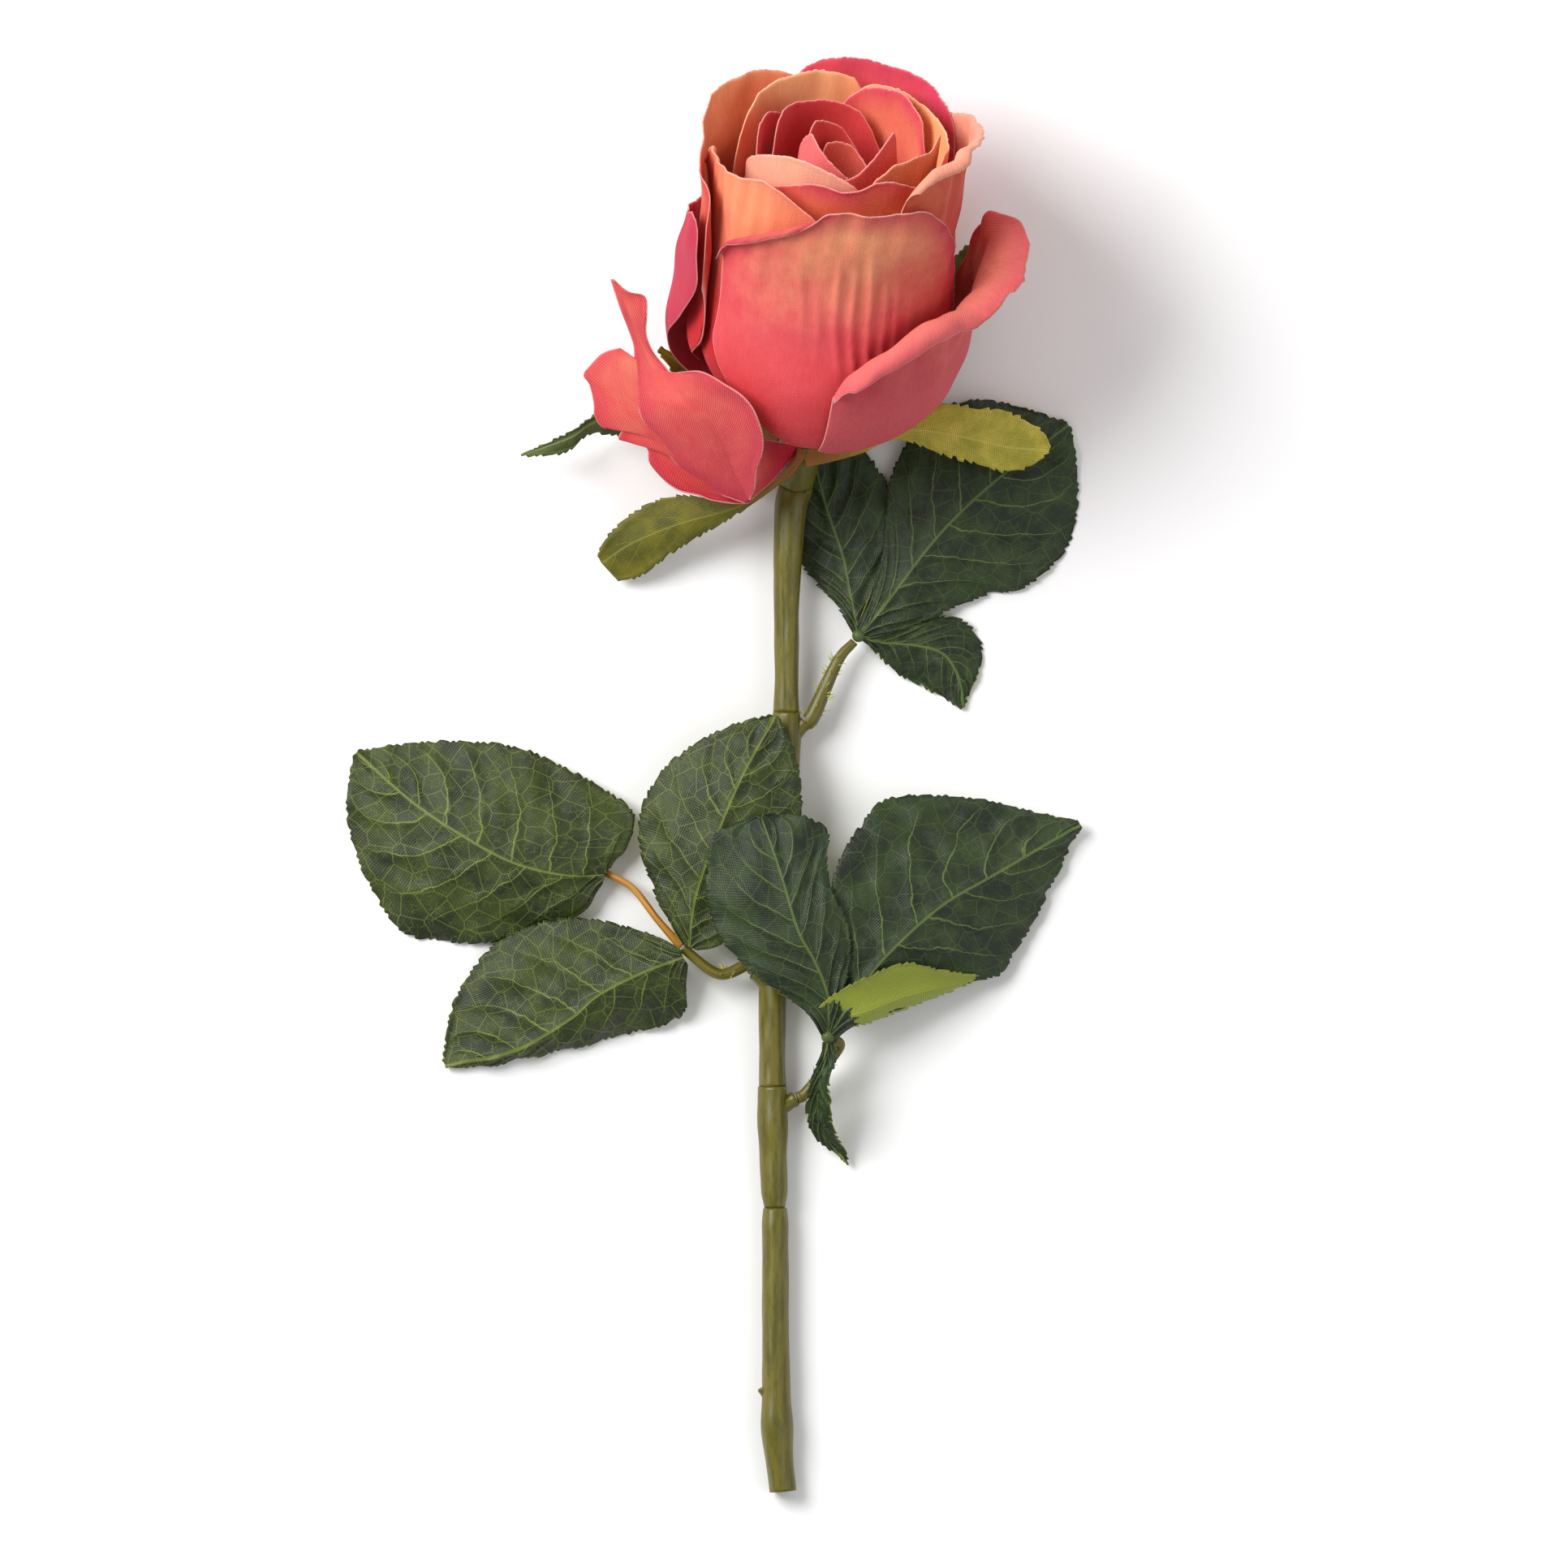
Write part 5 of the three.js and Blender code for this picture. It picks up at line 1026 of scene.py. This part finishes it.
def makeLeaves():
    materials = {name: leafMaterial(name) for name in leafDyes}
    for name, leaf in leaves.items():
        shells, grids = [], []
        for blade in leaf["blades"]:
            grid, masks = upFacing(*bladeGrid({**leafLook, **blade}), blade.get("under", False))
            shells.append(clothShell(grid, leafThickness, masks))
            grids.append(grid)
        if leaf.get("hub"):
            shells.append(hubShell(np.array(leaf["hub"]) + table))
        piece = meshObject(name + "_cloth", shells, materials[leaf["dye"]])
        setIn(piece, name)
        declareCloth(grids)
    for name, sepal in sepals.items():
        look = {"teeth": (2.6, 0.8), "fromHip": True, "flutter": 0.3, "bare": 0.32}
        grid, masks = upFacing(*bladeGrid({**look, **sepal}, 24, 150))
        piece = meshObject(name + "_cloth", [clothShell(grid, leafThickness, masks)],
                           materials[sepal["dye"]])
        setIn(piece, name)
        declareCloth([grid])


def makeReflexedPetal():
    shells, grids = [], []
    for number, blade in enumerate(reflexed):
        grid, masks = upFacing(*bladeGrid({"flutter": 0.5, **blade}, 56, 150))
        masks["warm"] = 0.25 * masks["share"]
        # the claw, a foot tab lying in shadow near the hip, is fully deep red as painted shade; the other
        # blades deepen towards their base as dye
        depth = 1.0 if blade.get("claw") else (0.6, 0.3)[number]
        masks["deep"] = depth * smoothStep(1.3 - masks["share"])
        masks["rim"] = 0.75 * smoothStep(1 - masks["edge"] / 6)
        shells.append(clothShell(grid, bloom["thickness"], masks))
        grids.append(grid)
    material = petalMaterial("petal_reflexed_left", {"outer": colour(222, 86, 92)})
    piece = meshObject("petal_reflexed_left_cloth", shells, material)
    setIn(piece, "petal_reflexed_left")
    declareCloth(grids)


makeLeaves()
makeReflexedPetal()
print("leaves, sepals and the reflexed petal made")


stemLook = {
    "radius": 3.2, "bore": 1.25, "length": 249, "sides": 40, "ringStep": 0.8, "gap": 0.05,
    "splices": (0, 57, 149.5, 179.5), "spurFromEnd": 20, "rest": 0.15, "hipHalfLength": 6.4,
            "neckStraight": 2,
}
stemPieces = [
    {"name": "stem_neck", "swells": [(0, 1), (0.08, 0.9), (0.3, 0.35), (0.6, -0.1), (0.88, -0.3),
                                     (1, 0.1)]},
    {"name": "stem_upper", "swells": [(0, 0), (0.06, 0.5), (0.14, 0.1), (0.4, 0), (0.7, 0), (0.77, 0.2),
                                      (0.97, -0.05), (1, 0.2)]},
    {"name": "stem_middle", "swells": [(0, 0.3), (0.1, 0.5), (0.3, 0.7), (0.5, 0.2), (0.9, 0.1),
                                       (0.96, -0.2), (1, -1.1)]},
    {"name": "stem_lower", "swells": [(0, -0.6), (0.03, 0.1), (0.2, 0), (0.5, 0.1), (0.68, 0.3),
                                      (0.76, 0.9), (0.86, 0.3), (1, 0.05)]},
]


def stemRoute():
    low = stemLook["radius"] + stemLook["rest"]
    neck = -(stemLook["hipHalfLength"] + 0.3) * axisWay + (0, 0, hip[2])
    straight = neck - stemLook["neckStraight"] * axisWay
    end = -stemLook["length"]
    points = [neck, straight, (-2.2, -12, mix(neck[2], low + 4, 0.4)), (-3, -30, low + 3.6),
              (-3.1, -58, low + 3), (-3.4, -90, low + 2.4), (-6.4, -126, low + 1.8),
              (-6.5, -160, low + 1.4), (-6, -188, low + 1.2),
              (-5.7, end - 6 + stemLook["spurFromEnd"], low + 1), (-4.2, end - 5, low)]
    return spline(np.array(points, float) + table)


stemLine = stemRoute()
stemTotal = lineLength(stemLine)


def stemAt(distance):
    return alongLine(stemLine, np.asarray(distance) / stemTotal)


# Moulded plastic with lengthways streaks and specks of a second colour.
def makeMoulding():
    group, wire, given, result = newGroup(
        "mouldedPlastic", {"along": 0.0, "around": 0.0, "bristle": 0.0}, ["face", "shade", "tint"],
        ["colour", "roughness", "height"])
    ring = [wire.math("MULTIPLY", wire.math(kind, given["around"]), 2.6) for kind in ("COSINE", "SINE")]
    place = wire.vector(*ring, wire.math("MULTIPLY", given["along"], 0.16))
    streaks = wire.noise(place, 0.9, 4, 0.6)
    specks = wire.noise(place, 5.0, 3, 0.6)
    base = wire.blend(wire.ramp(streaks, 0.36, 0.62), given["shade"], given["face"])
    base = wire.blend(wire.math("MULTIPLY", wire.ramp(specks, 0.55, 0.75), 0.5), base, given["tint"])
    wire.feed(result["colour"], wire.blend(given["bristle"], base, colour(186, 192, 96)))
    wire.feed(result["roughness"], wire.math("ADD", wire.math("MULTIPLY", streaks, 0.25), 0.25))
    wire.feed(result["height"], wire.math("ADD", streaks, wire.math("MULTIPLY", specks, 0.3)))
    return group


moulding = makeMoulding()


def stemMaterial(name, face, shade, tint):
    material, wire, shader = newMaterial(name)
    values = {key: wire.attribute(key) for key in ("along", "around", "bristle")}
    made = useGroup(wire, moulding, {**values, "face": face, "shade": shade, "tint": tint})
    wire.feed(shader.inputs["Base Color"], made["colour"])
    wire.feed(shader.inputs["Roughness"], made["roughness"])
    wire.feed(shader.inputs["Normal"], bump(wire, made["height"], 0.35, 0.25))
    shader.inputs["Specular IOR Level"].default_value = 0.5
    return material


stemGreen = stemMaterial("stemMoulded", colour(104, 98, 20), colour(84, 80, 14), colour(142, 104, 34))
orangeMoulded = stemMaterial("petioleMoulded", colour(196, 136, 40), colour(154, 98, 26),
                             colour(120, 112, 36))


def nubAt(distance, turn, rise, radius, reach=5.2):
    centre = stemAt([distance, distance + 0.5])
    down = (centre[1] - centre[0]) / np.linalg.norm(centre[1] - centre[0])
    swing = math.radians(turn)
    way = np.array([down[0] * math.cos(swing) - down[1] * math.sin(swing),
                    down[0] * math.sin(swing) + down[1] * math.cos(swing), rise])
    way /= np.linalg.norm(way)
    line = centre[0] + np.linspace(1.6, reach + 1.25, 14)[:, None] * way
    return {"line": line, "way": way, "radius": radius, "tip": line[-1]}


nubs = {
    "upper": nubAt(64, 134, 0, 2), "left": nubAt(125.5, -132, 0.25, 2), "right": nubAt(155.5, 118, 0, 2),
    "spur": nubAt(229, -150, 0, 1.6),
}
nubsOn = {"stem_upper": ["upper", "left"], "stem_middle": ["right"], "stem_lower": ["spur"]}


def nubShell(nub):
    shape = np.interp(np.linspace(0, 1, 14), [0, 0.35, 0.7, 0.92, 1], [1.25, 1.02, 0.9, 1.0, 0.8])
    return tubeShell(nub["line"], nub["radius"] * shape, 24)


# Shallow flutes, small dents and one moulding seam that wanders round the piece.
def stemRelief(number):
    def relief(along, angle):
        flutes = 0.12 * np.sin(3 * angle + along * 0.02 + number)
        dents = 0.08 * ripple(angle / 2.1, along / 14, number + 40)
        fromSeam = np.angle(np.exp(1j * (angle - 1.2 - number - along * 0.006)))
        return flutes + dents - 0.22 * np.exp(-((fromSeam / 0.13) ** 2))
    return relief


def makeStem():
    splices = [*stemLook["splices"], stemTotal]
    for number, part in enumerate(stemPieces):
        start, end = splices[number], splices[number + 1] - stemLook["gap"]
        count = int((end - start) / stemLook["ringStep"]) + 1
        places = np.linspace(start, end, count)
        swell = np.interp(np.linspace(0, 1, count), *zip(*part["swells"]))
        swell = np.convolve(np.pad(swell, 3, "edge"), np.ones(7) / 7, "valid")
        radii = stemLook["radius"] + swell
        shells = [tubeShell(stemAt(places), radii, stemLook["sides"], stemLook["bore"],
                            stemRelief(number))]
        shells += [nubShell(nubs[key]) for key in nubsOn.get(part["name"], [])]
        piece = meshObject(part["name"] + "_moulded", shells, stemGreen)
        weld(piece)
        setIn(piece, part["name"])


petioles = {
    "petiole_upper": {"nub": "upper", "to": [(9.4, -49.4, 5.2), (13.5, -44.5, 4.9)], "look": stemGreen,
                      "radii": (2.1, 1.9, 1.4, 1.1), "bristles": 30, "spread": (0.02, 0.9)},
    "petiole_left": {"nub": "left", "to": [(-20, -126.4, 7.8), (-28.8, -120, 7.3)], "look": stemGreen,
                     "radii": (1.5, 1.5, 1.25, 1.2), "bristles": 12, "spread": (0.1, 0.5)},
    "petiole_left_end": {"nub": None, "to": [(-29.1, -119.7, 7.1), (-35, -113, 6.6), (-41, -105.4, 4.8),
                                             (-47.6, -101.6, 3)], "look": orangeMoulded,
                         "radii": (1.1, 0.9, 0.85, 0.9), "bristles": 0, "spread": (0, 1)},
    "petiole_right": {"nub": "right", "to": [(6.4, -149.4, 6), (10, -144.2, 8.8), (8.4, -142.4, 11.2)],
                      "look": stemGreen, "radii": (1.5, 1.3, 1.2, 1.3), "bristles": 16,
                      "spread": (0.05, 0.7)},
}


# Short moulded bristles that lean towards the leaf end of their petiole.
def bristleShells(line, radii, count, spread, seed):
    chance = np.random.default_rng(seed)
    shells = []
    for _ in range(count):
        at = int(chance.uniform(*spread) * (len(line) - 2))
        ahead = line[at + 1] - line[at]
        ahead /= np.linalg.norm(ahead)
        away = np.cross(ahead, chance.normal(size=3))
        away[2] = abs(away[2]) * 0.6  # none points into the table
        away /= np.linalg.norm(away)
        way = away + ahead * chance.uniform(0.2, 0.9)
        reach = chance.uniform(1.1, 2.4) * np.linspace(0, 1, 4)
        start = line[at] + away * radii[at] * 0.8
        taper = np.array([0.2, 0.16, 0.11, 0.05])
        verts, faces, masks = tubeShell(start + reach[:, None] * way, taper, 5)
        shells.append((verts, faces, {**masks, "bristle": np.ones(len(verts))}))
    return shells


def makePetioles():
    for seed, (name, petiole) in enumerate(petioles.items()):
        points = [np.array(point) + table for point in petiole["to"]]
        if petiole["nub"]:
            nub = nubs[petiole["nub"]]
            points = [nub["tip"] + nub["way"] * 0.3, nub["tip"] + nub["way"] * 2.5] + points
        line = alongLine(spline(points), np.linspace(0, 1, 40))
        radii = np.interp(np.linspace(0, 1, 40), [0, 0.25, 0.75, 1], petiole["radii"])
        shells = [tubeShell(line, radii, 20)]
        shells += bristleShells(line, radii, petiole["bristles"], petiole["spread"], seed + 5)
        piece = meshObject(name + "_moulded", shells, petiole["look"])
        weld(piece)
        setIn(piece, name)


# The hip is a ribbed receptacle that carries the neck up into the bloom.
receptacle = {"ends": (-6.4, 6.4), "radii": [4.2, 4.4, 4.6, 4.8, 4.9, 4.8, 4.4], "ribs": 5,
              "ribDepth": 0.14}


def makeReceptacle():
    share = np.linspace(0, 1, 30)
    centres = hip + mix(*receptacle["ends"], share)[:, None] * axisWay
    radii = np.interp(share, np.linspace(0, 1, len(receptacle["radii"])), receptacle["radii"])

    def ribs(along, angle):
        return receptacle["ribDepth"] * np.sin(receptacle["ribs"] * angle) + 0 * along

    piece = meshObject("hip_moulded", [tubeShell(centres, radii, 40, 0, ribs)], stemGreen)
    weld(piece)
    setIn(piece, "hip")


# The core and wire keep their CAD shape and get a moulded or drawn finish.
def keepCadNodes():
    steel, wire, shader = newMaterial("wireSteel")
    place = wire.node("ShaderNodeTexCoord").outputs["Object"]
    brushed = wire.math("MULTIPLY", wire.noise(place, 900.0), 0.3)
    wire.feed(shader.inputs["Roughness"], wire.math("ADD", brushed, 0.25))
    shader.inputs["Base Color"].default_value = (0.5, 0.5, 0.5, 1)
    shader.inputs["Metallic"].default_value = 1
    for name, material in (("bloom_core", stemGreen), ("stem_wire", steel)):
        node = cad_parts[name]
        node.data.materials.clear()
        node.data.materials.append(material)


makeStem()
makePetioles()
makeReceptacle()
keepCadNodes()
print("stem and petioles made")
